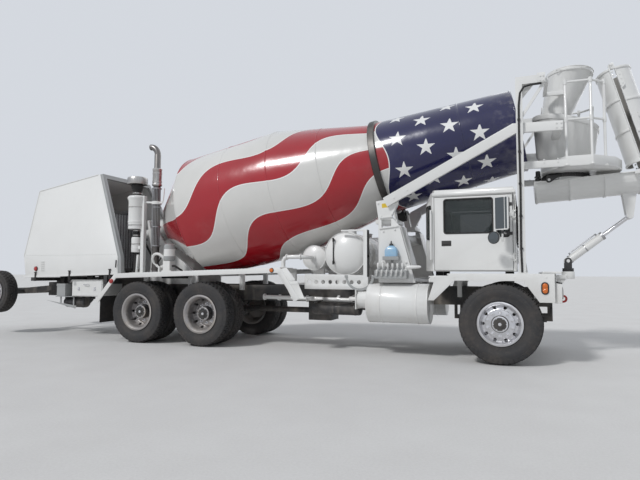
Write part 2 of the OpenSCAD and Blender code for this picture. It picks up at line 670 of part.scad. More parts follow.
// A cross section of the hood at one X: straight up to the knee, then leaning in to the roof
module hood_body(inset) {
    knee = 1570;
    wide = hood_w / 2 - inset;
    narrow = hood_top_w / 2 - inset;
    intersection() {
        translate([0, hood_w, 0]) rotate([90, 0, 0]) linear_extrude(2 * hood_w) polygon(inset == 0 ? hood_side : hood_cavity(inset));
        rotate([90, 0, 90]) translate([0, 0, -9400]) linear_extrude(3400)
            polygon([[-wide, 900], [wide, 900], [wide, knee], [narrow, 3260], [-narrow, 3260], [-wide, knee]]);
    }
}

module engine_hood() from_axle() color(steel) difference() {
    hood_body(0);
    hood_body(hood_t);
    hood_front_band();
}

module hood_frame() from_axle() color(grey) difference() {
    intersection() {
        hood_body(0);
        hood_front_band();
    }
    hood_body(95);
}

module radiator() from_axle() color(dark) {
    translate([-7850, -600, 1300]) cube([160, 1200, 1250]);
    for (side = [1, -1]) translate([-7850, side * (rail_y - rail_w / 2) - 35, rail_top]) cube([120, 70, 265]);
}

module engine_block() from_axle() color(dark) {
    translate([-9000, -380, 1200]) cube([1050, 760, 900]);
    for (x = [-8900, -8150], side = [1, -1]) translate([x, side * (rail_y - 60) - 50, rail_top]) cube([120, 100, 165]);
}

module air_cleaner() from_axle() color(steel) {
    x = -6560;
    y = 400 - half_w;
    translate([x, y, 0]) {
        translate([0, 0, 2080]) cylinder(r = 155, h = 650);
        translate([0, 0, 2720]) cylinder(r = 70, h = 230);
        translate([0, 0, 2940]) cylinder(r = 185, h = 140);
        translate([0, 0, 1640]) cylinder(r = 90, h = 300);
        translate([0, 0, 1930]) cylinder(r = 55, h = 160);
        translate([0, 0, rear_deck(x) + 8]) cylinder(r = 45, h = 400);
        translate([130, -40, rear_deck(x) + 13]) cube([70, 80, 1460]);
        for (z = [1700, 2300, 2600]) translate([60, -40, z]) cube([80, 80, 60]);
    }
    deck_foot(x - 60, x + 240, y, 200);
}

module exhaust_stack() from_axle() color(bright) {
    x = -6150;
    y = 460 - half_w;
    translate([x, y, rear_deck(x) + 8]) cylinder(r = 62, h = 1740);
    translate([x, y, 2900]) cylinder(r = 85, h = 330);
    translate([x, y, 3220]) cylinder(r = 60, h = 280);
    // Elbow that turns the mouth to the rear
    translate([x - 160, y, 3498]) rotate([90, 0, 0]) intersection() {
        rotate_extrude() translate([160, 0]) circle(r = 57);
        translate([0, 0, -100]) cube([300, 300, 200]);
    }
    deck_foot(x - 90, x + 90, y, 180);
}

// Foot plate that lies on the sloping deck
module deck_foot(x0, x1, y, w) bar([x0, rear_deck(x0) + 6 + clear], [x1, rear_deck(x1) + 6 + clear], y, w, 12);

module rear_fenders() from_axle() color(steel) both_sides() {
    // Sloping deck over the tandem, with a channel edge outside
    bar([rear_deck_x[0], rear_deck(rear_deck_x[0]) - 6], [rear_deck_x[1], rear_deck(rear_deck_x[1]) - 6],
        (710 + half_w) / 2, half_w - 730, 12);
    bar([rear_deck_x[0] - 2, rear_deck(rear_deck_x[0]) - 42], [rear_deck_x[1] + 2, rear_deck(rear_deck_x[1]) - 42],
        half_w - 10, 20, 86);
    // Rear leg with the mudflap's hanger, and front leg with two steps
    bar([-6680, 1200], [-7100, 730], half_w - 11, 16, 80);
    translate([-7075, flap_in_y, 780]) cube([30, half_w - 12 - flap_in_y, 40]);
    bar([-3360, 1305], [-3030, 830], half_w - 11, 16, 90);
    for (z = [1080, 850]) translate([-3190 + (1080 - z) * 0.64 - 100, half_w - 330, z]) cube([260, 318, 20]);
    translate([-3090, rail_y, 832]) cube([60, half_w - 14 - rail_y, 25]);
    // Grip plates on the leg
    for (plate = [[[-3430, 1300], [-3227, 1345], [-3069, 1150], [-3269, 1121]],
                  [[-3269, 1111], [-3038, 1131], [-2914, 866], [-3100, 806]]]) side_plate(plate, half_w - 27, 10);
    // Outriggers from the rails
    for (x = [-6600, -5560, -4450, -3420]) {
        z = rear_deck(x) - 12;
        translate([x - 40, rail_y, rail_top - 90]) cube([80, 60, z - rail_top + 75]);
        translate([x - 38, rail_y + 1, z - 70]) cube([76, half_w - 30 - rail_y, 74]);
    }
}

module mudflaps() from_axle() color(rubber) both_sides()
    translate([-7045, flap_in_y, 330]) cube([10, half_w - 25 - flap_in_y, 490]);

module side_tanks() from_axle() color(steel) both_sides() {
    y = half_w - 320;
    translate([-1920, y, 800]) rotate([0, 90, 0]) cylinder(r = 300, h = 930);
    translate([-2110, y, 850]) rotate([0, 90, 0]) cylinder(r = 140, h = 200);
    for (x = [-1750, -1200]) translate([x, rail_y, 900]) cube([80, y - 250 - rail_y, 80]);
}

module valve_bank() from_axle() color(bright) {
    translate([-1780, -beam_y - 150, 1180]) cube([480, 150, 120]);
    for (i = [0:5]) translate([-1750 + i * 75, -beam_y - 60, 1290]) cylinder(r = 12, h = 120);
}

module lamps() from_axle() color(amber) {
    both_sides() translate([580, half_w, 1060]) rotate([-90, 0, 0]) {
        for (z = [-35, 35]) translate([0, z, 0]) cylinder(r = 32, h = 18);
        translate([-32, -35, 0]) cube([64, 70, 18]);
    }
    both_sides() translate([-3480, half_w, 1300]) rotate([-90, 0, 0]) cylinder(r = 30, h = 18);
    both_sides() translate([-8850, hood_w / 2, 1330]) rotate([-90, 0, 0]) cylinder(r = 40, h = 18);
    translate([-9060, 0, 2960 + 100 * hood_slope]) rotate([0, -atan(hood_slope), 0]) translate([0, 0, clear]) {
        cylinder(r = 60, h = 60);
        translate([0, 0, 40]) intersection() {
            sphere(r = 60);
            cylinder(r = 61, h = 61);
        }
    }
}

// A cab door with its side window, quarter window and the mirror on its arms
module door(side) from_axle() color(steel) scale_y(side) {
    z = cab_z + 15;
    h = cab_h - 130;
    difference() {
        translate([door_rear_x, cab_w / 2 - cab_t, z]) cube([door_front_x - door_rear_x, cab_t, h]);
        door_panes(cab_t + 2, 0);
    }
    // Hinge barrels, on leaves that step out over the gap
    for (dz = hinge_heights) translate([0, 0, cab_z + dz - hinge_h / 2]) difference() {
        union() {
            translate([hinge_at[0], hinge_at[1], 0]) cylinder(r = hinge_r, h = hinge_h);
            translate([door_front_x - 40, cab_w / 2 - 5, 0]) cube([40, 19, hinge_h]);
            translate([door_front_x - 12, cab_w / 2 + 10, 0]) cube([hinge_at[0] - door_front_x + 12, 14, hinge_h]);
        }
        translate([hinge_at[0], hinge_at[1], -1]) cylinder(r = hinge_pin_r + 0.05, h = hinge_h + 2);
    }
    // Mirror post on two arms, with a tall mirror of two panes and a round one below it
    post = [60, cab_w / 2 + 290];
    for (dz = [530, 950]) rod([100, cab_w / 2 - 8, cab_z + dz], [post[0], post[1], cab_z + dz], 11);
    translate([post[0], post[1], cab_z + 400]) cylinder(r = 13, h = 580);
    translate([post[0], post[1], cab_z + 560]) rotate([0, 0, 25]) translate([-100, 5, 0]) {
        difference() {
            side_plate([[20, 0], [180, 0], [200, 20], [200, 440], [180, 460], [20, 460], [0, 440], [0, 20]], 0, 28);
            for (pane = [[14, 132], [154, 32]]) translate([pane[0], 24, 14]) cube([pane[1], 5, 432]);
        }
    }
    rod([post[0], post[1], cab_z + 455], [post[0] - 92, post[1] + 22, cab_z + 455], 9);
    translate([post[0] - 105, post[1] + 8, cab_z + 455]) rotate([0, 0, 30]) rotate([-90, 0, 0]) cylinder(r = 85, h = 22);
}

// Side and quarter windows of a door
module door_panes(t, inset) {
    for (pane = [[-760, 680, 500], [-20, 160, 560]])
        translate([pane[0] + inset, cab_w / 2 - cab_t / 2 - t / 2, cab_z + 1110 - pane[2] + inset - 60])
            cube([pane[1] - 2 * inset, t, pane[2] - 2 * inset]);
}

module door_glass(side) from_axle() color(glass) scale_y(side) door_panes(8, 1);

module chute_turntable() from_axle() color(dark) {
    // Ring under the balcony, with the ears of the chute's hinge
    ring_z = balcony_z - clear - 50;
    tooth_count = 60;
    difference() {
        union() {
            translate([swing_x, 0, ring_z]) cylinder(r = 330, h = 50);
            // Gear teeth that the swing motor drives
            for (i = [0:tooth_count - 1]) translate([swing_x, 0, ring_z]) rotate([0, 0, 360 / tooth_count * i])
                translate([325, -7, 0]) cube([20, 14, 34]);
        }
        translate([swing_x, 0, ring_z - 1]) cylinder(r = 270, h = 52);
    }
    for (side = [1, -1]) difference() {
        union() {
            hull() {
                translate([chute_pivot[0], side * 345, chute_pivot[1]]) rotate([90, 0, 0])
                    cylinder(r = 42, h = 20, center = true, $fn = 32);
                translate([chute_pivot[0] - 30, side * 345 - 10, ring_z]) cube([180, 20, 20]);
            }
            translate([chute_pivot[0] - 30, side > 0 ? 200 : -355, ring_z]) cube([150, 155, 20]);
        }
        translate([chute_pivot[0], side * 345, chute_pivot[1]]) rotate([90, 0, 0]) cylinder(r = 20.05, h = 22, center = true);
        translate([swing_x, 0, ring_z - 1]) cylinder(r = 270, h = 52);
    }
    // Swivel clevis that carries the foot of the ram
    translate([swing_x, 0, 1290 + clear]) cylinder(r = 80, h = 50);
    for (side = [1, -1]) difference() {
        hull() {
            translate([swing_x - 50, side * 75 - 10, 1320]) cube([100, 20, 20]);
            translate([ram_foot[0], side * 75, ram_foot[1]]) rotate([90, 0, 0]) cylinder(r = 50, h = 20, center = true, $fn = 32);
        }
        translate([ram_foot[0], side * 75, ram_foot[1]]) rotate([90, 0, 0]) cylinder(r = 25.05, h = 22, center = true);
    }
    translate([swing_x - 50, -85, 1320]) cube([100, 170, 20]);
}

// A half-round trough along X from the origin, its rim at z = 0
module trough(len, r, depth) {
    half_round(len, r, depth, chute_t);
    // Bands round the shell at its ends and between
    band_w = 30;
    for (i = [0:3]) translate([i * (len - band_w) / 3, 0, 0]) half_round(band_w, r + band_h, depth + band_h, band_h + 2);
    // Rim flanges with long slots
    for (side = [1, -1]) difference() {
        translate([0, side * (r + 12) - 18, -12]) cube([len, 36, 12]);
        for (x = [90:170:len - 160]) translate([x, side * (r + 19) - 5, -13]) cube([110, 10, 14]);
    }
}

// A half-round shell along X, open above
module half_round(len, r, depth, t) rotate([90, 0, 90]) linear_extrude(len) difference() {
    scale([1, depth / r]) circle(r = r, $fn = 48);
    scale([1, (depth - t) / (r - t)]) circle(r = r - t, $fn = 48);
    translate([-r - 1, 0]) square([2 * r + 2, r + 1]);
}

module main_chute() from_axle() color(steel) {
    len = norm(chute_end - chute_pivot);
    translate([chute_pivot[0], 0, chute_pivot[1]]) rotate([0, -chute_slope, 0]) {
        translate([-200, 0, -5]) trough(len + 160, chute_r, chute_r);
        translate([-208, 0, -5]) rotate([90, 0, 90]) linear_extrude(9) difference() {
            circle(r = chute_r);
            translate([-chute_r - 1, 0]) square([2 * chute_r + 2, chute_r + 1]);
        }
        for (side = [1, -1]) translate([0, side * (chute_r + 20), 0]) rotate([side * -90, 0, 0]) cylinder(r = 20, h = 58);
        for (side = [1, -1]) translate([-25, side * (chute_r + 22) - 12, -30]) cube([50, 24, 40]);
    }
    // Clevis and pin of the ram under the chute
    for (side = [1, -1]) hull() {
        translate([ram_eye[0], side * 75, ram_eye[1]]) rotate([90, 0, 0]) cylinder(r = 45, h = 20, center = true, $fn = 32);
        translate([ram_eye[0] - 90, side * 75 - 10, 2430]) cube([180, 20, 20]);
    }
    translate([ram_eye[0], 0, ram_eye[1]]) rotate([90, 0, 0]) cylinder(r = 25, h = 160, center = true);
    // Ears of the folding chute's hinge
    for (side = [1, -1]) difference() {
        translate([0, side * 355 + 8, 0]) rotate([90, 0, 0]) linear_extrude(16) polygon([
            [chute_end[0] - 160, chute_end[1] - 60], [chute_end[0] - 30, chute_end[1] - 50],
            [fold_pivot[0] + 30, fold_pivot[1] - 10], [fold_pivot[0] + 20, fold_pivot[1] + 26],
            [fold_pivot[0] - 25, fold_pivot[1] + 26], [chute_end[0] - 160, chute_end[1] - 30]]);
        translate([fold_pivot[0], side * 355, fold_pivot[1]]) rotate([90, 0, 0]) cylinder(r = 15.05, h = 20, center = true);
    }
    for (side = [1, -1]) translate([chute_end[0] - 160, side * 318 - 42, chute_end[1] - 58]) cube([120, 84, 20]);
}

ram_len = norm(ram_eye - ram_foot);
ram_angle = atan2(ram_eye[1] - ram_foot[1], ram_eye[0] - ram_foot[0]);

tag_ram_len = norm(tag_ram_eye - tag_ram_foot);
tag_ram_angle = atan2(tag_ram_eye[1] - tag_ram_foot[1], tag_ram_foot[0] - tag_ram_eye[0]);

// Brings children to the trailing axle's ram: Z along it, up to the rear
module tag_ram_frame() {
    translate([tag_ram_foot[0], 0, tag_ram_foot[1]]) rotate([0, tag_ram_angle - 90, 0]) children();
}

// Brings children to the chute's ram: Z along it, up to the front
module ram_frame() { translate([ram_foot[0], 0, ram_foot[1]]) rotate([0, 90 - ram_angle, 0]) children(); }

module chute_ram_barrel() from_axle() color(steel) ram_frame() {
    rotate([90, 0, 0]) cylinder(r = 25, h = 170, center = true);
    difference() {
        union() {
            rotate([90, 0, 0]) cylinder(r = 55, h = 120, center = true);
            translate([0, 0, 30]) cylinder(r = 58, h = 590);
        }
        translate([0, 0, 70]) cylinder(r = 50, h = 530);
        translate([0, 0, 590]) cylinder(r = 30 + clear, h = 40);
    }
}

module chute_ram_rod() from_axle() color(bright) ram_frame() {
    translate([0, 0, 470]) cylinder(r = 50 - clear, h = 40);
    translate([0, 0, 470]) cylinder(r = 30, h = ram_len - 515);
    difference() {
        translate([0, 0, ram_len]) rotate([90, 0, 0]) cylinder(r = 50, h = 120, center = true);
        translate([0, 0, ram_len]) rotate([90, 0, 0]) cylinder(r = 25 + 6, h = 122, center = true);
    }
}

module fold_chute() from_axle() color(steel) translate([fold_pivot[0], 0, fold_pivot[1]]) rotate([0, -90 - fold_lean, 0]) {
    translate([40, 0, -hinge_rise]) trough(fold_len - 80, chute_r, fold_depth);
    for (side = [1, -1]) {
        translate([0, side * 300, 0]) rotate([side * -90, 0, 0]) cylinder(r = 15, h = 64);
        translate([-16, side * 318 - 14, -hinge_rise - 6]) cube([90, 28, hinge_rise + 21]);
        // Hinge knuckle at the far end
        difference() {
            translate([fold_len - 70, side * 318 - 14, -hinge_rise - 6]) cube([92, 28, hinge_rise + 24]);
            translate([fold_len, side * 318, 0]) rotate([90, 0, 0]) cylinder(r = 12.05, h = 30, center = true);
        }
    }
}

module tip_chute() from_axle() color(steel) translate([tip_pivot[0], 0, tip_pivot[1]]) rotate([0, 90 - fold_lean, 0]) {
    translate([40, 0, -hinge_rise]) trough(fold_len - 160, chute_r, tip_depth);
    for (side = [1, -1]) {
        translate([0, side * 285, 0]) rotate([side * -90, 0, 0]) cylinder(r = 12, h = 48);
        translate([-14, side * 290 - 10, -hinge_rise - 6]) cube([80, 20, hinge_rise + 20]);
    }
}

module tag_arm() from_axle() color(dark) {
    for (side = [1, -1]) {
        difference() {
            union() {
                bar(tag_arm_pivot, [tag_x, tag_axle_z], side * tag_arm_y, tag_arm_w - 8, 110);
                translate([tag_arm_pivot[0], side * tag_arm_y, tag_arm_pivot[1]]) rotate([90, 0, 0])
                    cylinder(r = 75, h = tag_arm_w, center = true);
            }
            translate([tag_arm_pivot[0], side * tag_arm_y, tag_arm_pivot[1]]) rotate([90, 0, 0])
                cylinder(r = tag_pin_r + clear, h = tag_arm_w + 2, center = true);
        }
        // Lugs of the ram's eye on the cross tube
        side_plate([for (p = [[-115, -65], [-115, 0], [-20, 38], [36, 22], [36, -25], [0, -50]]) tag_ram_eye + p],
                   side * (ram_lug_y + 7.5) - 7.5, 15);
    }
    translate([tag_ram_eye[0], 0, tag_ram_eye[1]]) rotate([90, 0, 0])
        cylinder(r = tag_ram_pin_r, h = 2 * ram_lug_y + 20, center = true);
    translate([tag_ram_eye[0] - 100, 0, tag_ram_eye[1] - 30]) rotate([90, 0, 0])
        cylinder(r = 40, h = 2 * tag_arm_y, center = true);
    translate([tag_x, 0, tag_axle_z]) rotate([90, 0, 0]) cylinder(r = 65, h = 2 * (tag_y - 180), center = true);
    for (side = [1, -1]) translate([tag_x, side * (tag_y - 180), tag_axle_z]) rotate([side * -90, 0, 0])
        cylinder(r = spindle_r, h = 260);
}

module tag_ram_barrel() from_axle() color(steel) tag_ram_frame() {
    rotate([90, 0, 0]) cylinder(r = tag_ram_pin_r, h = 2 * ram_lug_y + 30, center = true);
    difference() {
        union() {
            rotate([90, 0, 0]) cylinder(r = 40, h = 2 * ram_lug_y - 10, center = true);
            translate([0, 0, 20]) cylinder(r = 48, h = 580);
        }
        translate([0, 0, 50]) cylinder(r = 40, h = 530);
        translate([0, 0, 570]) cylinder(r = 24 + clear, h = 40);
    }
}

module tag_ram_rod() from_axle() color(bright) tag_ram_frame() {
    translate([0, 0, 420]) cylinder(r = 40 - clear, h = 40);
    translate([0, 0, 420]) cylinder(r = 24, h = tag_ram_len - 458);
    difference() {
        translate([0, 0, tag_ram_len]) rotate([90, 0, 0]) cylinder(r = 42, h = 2 * ram_lug_y - 10, center = true);
        translate([0, 0, tag_ram_len]) rotate([90, 0, 0]) cylinder(r = 30, h = 2 * ram_lug_y, center = true);
    }
}

rim_hole_count = 10;

module tag_tyre(side) from_axle() color(rubber) tyre(tag_x, side * tag_y, tag_axle_z, tag_tyre_d, tag_tyre_w, 500);
module tag_rim(side) from_axle() color(bright) difference() {
    rim(tag_x, side * tag_y, tag_axle_z, 500, tag_tyre_w, 40, 0, 90, 112, side, 8);
    translate([tag_x, side * tag_y, tag_axle_z]) rotate([90, 0, 0]) cylinder(r = spindle_r + 0.05, h = 400, center = true);
}

module knuckle(side) from_axle() color(dark) scale_y(side) {
    translate([0, kingpin_y, front_z - 130]) cylinder(r = kingpin_r, h = 260);
    for (z = [front_z - 130, front_z + 60 + clear]) translate([0, kingpin_y, z]) cylinder(r = 60, h = 70 - clear);
    for (z = [front_z - 130, front_z + 60 + clear]) translate([-50, kingpin_y, z]) cube([100, 100, 70 - clear]);
    translate([-50, kingpin_y + 65, front_z - 130]) cube([100, 40, 260]);
    translate([0, kingpin_y + 80, front_z]) rotate([-90, 0, 0]) cylinder(r = spindle_r, h = 260);
}

module front_tyre(side) from_axle() color(rubber) tyre(0, side * front_y, front_z, front_tyre_d, front_tyre_w, 590);
module front_rim(side) from_axle() color(bright) difference() {
    rim(0, side * front_y, front_z, 590, front_tyre_w, 125, -14, 107, 205, side, rim_hole_count);
    translate([0, side * front_y, front_z]) rotate([90, 0, 0]) cylinder(r = spindle_r + 0.05, h = 500, center = true);
}

module rear_tyres(x, side) from_axle() color(rubber) for (y = [rear_outer_y, rear_inner_y])
    tyre(x, side * y, rear_z, rear_tyre_d, rear_tyre_w, 640);
module rear_rim(x, side) from_axle() color(bright) difference() {
    disc_back = 130;
    union() {
        rim(x, side * rear_outer_y, rear_z, 640, rear_tyre_w, -disc_back, 70, 115, 20, side, rim_hole_count);
        rim(x, side * rear_inner_y, rear_z, 640, rear_tyre_w, disc_back, -70, 115, disc_back, side, rim_hole_count);
        translate([x, side * (rear_outer_y - dual_gap / 2), rear_z]) rotate([90, 0, 0])
            cylinder(r = 200, h = dual_gap - 2 * disc_back, center = true);
    }
    translate([x, side * rear_inner_y, rear_z]) rotate([90, 0, 0]) cylinder(r = spindle_r + 0.05, h = 900, center = true);
}

frame_rails();
front_bumper();
front_fenders();
axles();
cab_shell();
cab_glass();
cab_interior();
mast_frame();
charge_hopper();
collector();
service_balcony();
water_tanks();
front_pedestal();
rear_pedestal();
drum_gearbox();
engine_hood();
hood_frame();
radiator();
engine_block();
air_cleaner();
exhaust_stack();
rear_fenders();
mudflaps();
side_tanks();
valve_bank();
lamps();
drum();
roller(1);  // roller_left
roller(-1);  // roller_right
door(1);  // door_left
door(-1);  // door_right
door_glass(1);  // door_glass_left
door_glass(-1);  // door_glass_right
chute_turntable();
main_chute();
chute_ram_barrel();
chute_ram_rod();
fold_chute();
tip_chute();
tag_arm();
tag_ram_barrel();
tag_ram_rod();
tag_tyre(1);  // tag_tyre_left
tag_tyre(-1);  // tag_tyre_right
tag_rim(1);  // tag_rim_left
tag_rim(-1);  // tag_rim_right
knuckle(1);  // knuckle_left
knuckle(-1);  // knuckle_right
front_tyre(1);  // front_tyre_left
front_tyre(-1);  // front_tyre_right
front_rim(1);  // front_rim_left
front_rim(-1);  // front_rim_right
rear_tyres(tandem_1_x, 1);  // rear_tyres_1_left
rear_tyres(tandem_1_x, -1);  // rear_tyres_1_right
rear_tyres(tandem_2_x, 1);  // rear_tyres_2_left
rear_tyres(tandem_2_x, -1);  // rear_tyres_2_right
rear_rim(tandem_1_x, 1);  // rear_rim_1_left
rear_rim(tandem_1_x, -1);  // rear_rim_1_right
rear_rim(tandem_2_x, 1);  // rear_rim_2_left
rear_rim(tandem_2_x, -1);  // rear_rim_2_right
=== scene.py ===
"""Looks of a front-discharge concrete mixer truck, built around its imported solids.
Sizes are in metres. Every section measures X from the front axle, and Shape.make moves it into place."""

import math
import bmesh
import bpy
from mathutils import Matrix, Vector


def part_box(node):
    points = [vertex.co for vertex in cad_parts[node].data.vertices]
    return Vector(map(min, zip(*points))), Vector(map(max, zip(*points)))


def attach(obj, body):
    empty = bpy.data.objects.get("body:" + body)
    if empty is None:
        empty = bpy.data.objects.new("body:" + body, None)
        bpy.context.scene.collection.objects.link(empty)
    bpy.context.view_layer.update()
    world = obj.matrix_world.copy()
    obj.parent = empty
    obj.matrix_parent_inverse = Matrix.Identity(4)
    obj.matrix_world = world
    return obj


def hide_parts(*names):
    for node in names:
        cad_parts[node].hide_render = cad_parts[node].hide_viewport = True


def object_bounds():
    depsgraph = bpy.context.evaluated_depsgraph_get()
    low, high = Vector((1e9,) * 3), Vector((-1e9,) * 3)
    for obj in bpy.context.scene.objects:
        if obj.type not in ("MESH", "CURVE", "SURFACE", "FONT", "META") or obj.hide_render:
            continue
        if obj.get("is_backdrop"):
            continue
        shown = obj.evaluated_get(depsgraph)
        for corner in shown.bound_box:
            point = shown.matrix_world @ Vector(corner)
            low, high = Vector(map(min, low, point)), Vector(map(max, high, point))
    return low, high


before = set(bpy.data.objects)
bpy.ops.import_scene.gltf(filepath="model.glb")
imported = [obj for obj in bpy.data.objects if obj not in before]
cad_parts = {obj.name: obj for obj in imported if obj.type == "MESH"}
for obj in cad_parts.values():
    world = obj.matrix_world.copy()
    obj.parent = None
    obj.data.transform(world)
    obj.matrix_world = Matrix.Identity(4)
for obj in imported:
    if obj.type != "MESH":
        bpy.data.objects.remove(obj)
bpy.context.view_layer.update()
rim_low, rim_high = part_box("front_rim_left")
FRONT_AXLE = (rim_low.x + rim_high.x) / 2


# Camera
# It stands where the photographer stood, about 9 m to the truck's right, a little above the ground
# and turned towards the rear wheels.
camera = bpy.data.objects.new("camera", bpy.data.cameras.new("camera"))
bpy.context.scene.collection.objects.link(camera)
camera.data.sensor_width = 36.0
camera.data.lens = 36.0 * 523.2 / 640
camera.location = (FRONT_AXLE + 0.325, -8.831, 1.257)
camera.rotation_euler = (math.pi / 2 + 0.0631, -0.0025, 0.3715)
camera.data.clip_end = 900
bpy.context.scene.camera = camera
bpy.context.scene.view_settings.view_transform = "Standard"


# Studio
# A wide pale floor and a pale sky that only the camera, gloss and glass see, with one large soft key
# lamp on the photographer's side, one fill lamp behind, and even light from all round.
class Wire:
    """A value on its way through a material, so that shader maths reads as arithmetic."""

    def __init__(self, paint, socket):
        self.paint, self.socket = paint, socket

    def maths(self, operation, *values):
        return self.paint.node("Math", {"operation": operation}, dict(enumerate(values)))

    def __add__(self, other):
        return self.maths("ADD", self, other)

    def __sub__(self, other):
        return self.maths("SUBTRACT", self, other)

    def __rsub__(self, other):
        return self.maths("SUBTRACT", other, self)

    def __mul__(self, other):
        return self.maths("MULTIPLY", self, other)

    def __truediv__(self, other):
        return self.maths("DIVIDE", self, other)

    def __pow__(self, other):
        return self.maths("POWER", self, other)

    def __lt__(self, other):
        return self.maths("LESS_THAN", self, other)

    def __gt__(self, other):
        return self.maths("GREATER_THAN", self, other)

    def wrap(self, high, low=0.0):
        return self.maths("WRAP", self, high, low)

    def sine(self):
        return self.maths("SINE", self)

    def cosine(self):
        return self.maths("COSINE", self)

    def size(self):
        return self.maths("ABSOLUTE", self)

    def floor(self):
        return self.maths("FLOOR", self)

    def least(self, other):
        return self.maths("MINIMUM", self, other)

    def fade(self, low, high, start=0.0, end=1.0):
        """The value run from low to high, as a number that goes softly from start to end."""
        return self.paint.node("MapRange", {"interpolation_type": "SMOOTHSTEP", "clamp": True},
                               {0: self, 1: low, 2: high, 3: start, 4: end})


class Paint:
    """A material and its nodes."""

    def __init__(self, name):
        self.material = bpy.data.materials.new(name)
        self.material.use_nodes = True
        self.tree = self.material.node_tree
        self.tree.nodes.clear()

    def node(self, kind, settings=None, values=None, out=0):
        made = self.tree.nodes.new("ShaderNode" + kind)
        for key, value in (settings or {}).items():
            setattr(made, key, value)
        for key, value in (values or {}).items():
            if isinstance(value, Wire):
                self.tree.links.new(value.socket, made.inputs[key])
            else:
                made.inputs[key].default_value = value
        return Wire(self, made.outputs[out])

    def place(self, axis=None):
        """A point of the surface in the part's own frame, or one of its coordinates."""
        point = self.node("TexCoord", out="Object")
        return point if axis is None else self.node("SeparateXYZ", None, {0: point}, axis)

    def stretched(self, x, y, z):
        return self.node("Mapping", None, {"Vector": self.place(), "Scale": (x, y, z)})

    def noise(self, scale, detail=4.0, vector=None, seed=0.0):
        return self.node("TexNoise", {"noise_dimensions": "4D"}, {
            "Vector": vector or self.place(), "W": seed, "Scale": scale, "Detail": detail, "Roughness": 0.55})

    def specks(self, scale):
        return self.node("TexVoronoi", {"feature": "F1"}, {"Vector": self.place(), "Scale": scale})

    def mix(self, share, first, second):
        def colour(value):
            return value if isinstance(value, Wire) else (*value, 1.0)
        return self.node("Mix", {"data_type": "RGBA"}, {0: share, 6: colour(first), 7: colour(second)}, 2)

    def bump(self, height, depth, after=None):
        values = {"Height": height, "Distance": depth, "Strength": 1.0}
        if after:
            values["Normal"] = after
        return self.node("Bump", None, values)

    def finish(self, colour, rough, normal=None, metal=0.0, coat=0.0, extra=None):
        values = {"Base Color": colour if isinstance(colour, Wire) else (*colour, 1.0),
                  "Roughness": rough, "Metallic": metal, "Coat Weight": coat, "Coat Roughness": 0.08}
        if normal:
            values["Normal"] = normal
        values.update(extra or {})
        shader = self.node("BsdfPrincipled", None, values)
        output = self.tree.nodes.new("ShaderNodeOutputMaterial")
        self.tree.links.new(shader.socket, output.inputs["Surface"])
        return self.material


def pale_ground():
    paint = Paint("pale_ground")
    grain = paint.noise(1.3, 5) * 0.5 + paint.noise(45, 3) * 0.5
    return paint.finish(paint.mix(grain.fade(0.3, 0.7), (0.62, 0.61, 0.60), (0.68, 0.675, 0.665)), 0.85,
                        paint.bump(paint.noise(60, 3), 0.002))


floor_mesh = bpy.data.meshes.new("floor")
floor_mesh.from_pydata([(-260, -260, 0), (260, -260, 0), (260, 260, 0), (-260, 260, 0)], [], [(0, 1, 2, 3)])
floor_mesh.materials.append(pale_ground())
floor = bpy.data.objects.new("floor", floor_mesh)
bpy.context.scene.collection.objects.link(floor)
floor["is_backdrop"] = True

world = bpy.data.worlds.new("studio")
bpy.context.scene.world = world
world.use_nodes = True
nodes, links = world.node_tree.nodes, world.node_tree.links
nodes.clear()
rays = nodes.new("ShaderNodeLightPath")
seen, seen_too = nodes.new("ShaderNodeMath"), nodes.new("ShaderNodeMath")
seen.operation = seen_too.operation = "MAXIMUM"
sky, glow = nodes.new("ShaderNodeBackground"), nodes.new("ShaderNodeBackground")
sky.inputs["Color"].default_value = (0.66, 0.69, 0.74, 1)
glow.inputs["Color"].default_value = (0.88, 0.93, 1.0, 1)
glow.inputs["Strength"].default_value = 0.46
blend, world_out = nodes.new("ShaderNodeMixShader"), nodes.new("ShaderNodeOutputWorld")
links.new(rays.outputs["Is Camera Ray"], seen.inputs[0])
links.new(rays.outputs["Is Glossy Ray"], seen.inputs[1])
links.new(seen.outputs[0], seen_too.inputs[0])
links.new(rays.outputs["Is Transmission Ray"], seen_too.inputs[1])
links.new(seen_too.outputs[0], blend.inputs["Fac"])
links.new(glow.outputs[0], blend.inputs[1])
links.new(sky.outputs[0], blend.inputs[2])
links.new(blend.outputs[0], world_out.inputs["Surface"])
for name, power, angle, turn in (("key", 1.7, 0.14, (0.80, 0.0, -0.45)),
                                 ("fill", 0.45, 0.9, (1.0, 0.0, 2.7))):
    lamp = bpy.data.objects.new(name, bpy.data.lights.new(name, "SUN"))
    lamp.data.energy, lamp.data.angle = power, angle
    lamp.rotation_euler = turn
    bpy.context.scene.collection.objects.link(lamp)


# Frame rails, axles and springs
# Two pressed steel channels with cross members, and the running gear under them, sprayed with chassis
# black at the works and dusted grey by the roads since.
FORWARD, LEFT, UP = (1, 0, 0), (0, 1, 0), (0, 0, 1)


def mirror(bm):
    """Copies all that a mesh holds to the truck's other side."""
    copy = bmesh.ops.duplicate(bm, geom=bm.verts[:] + bm.edges[:] + bm.faces[:])["geom"]
    bmesh.ops.scale(bm, vec=(1, -1, 1), verts=[g for g in copy if isinstance(g, bmesh.types.BMVert)])
    bmesh.ops.reverse_faces(bm, faces=[g for g in copy if isinstance(g, bmesh.types.BMFace)])


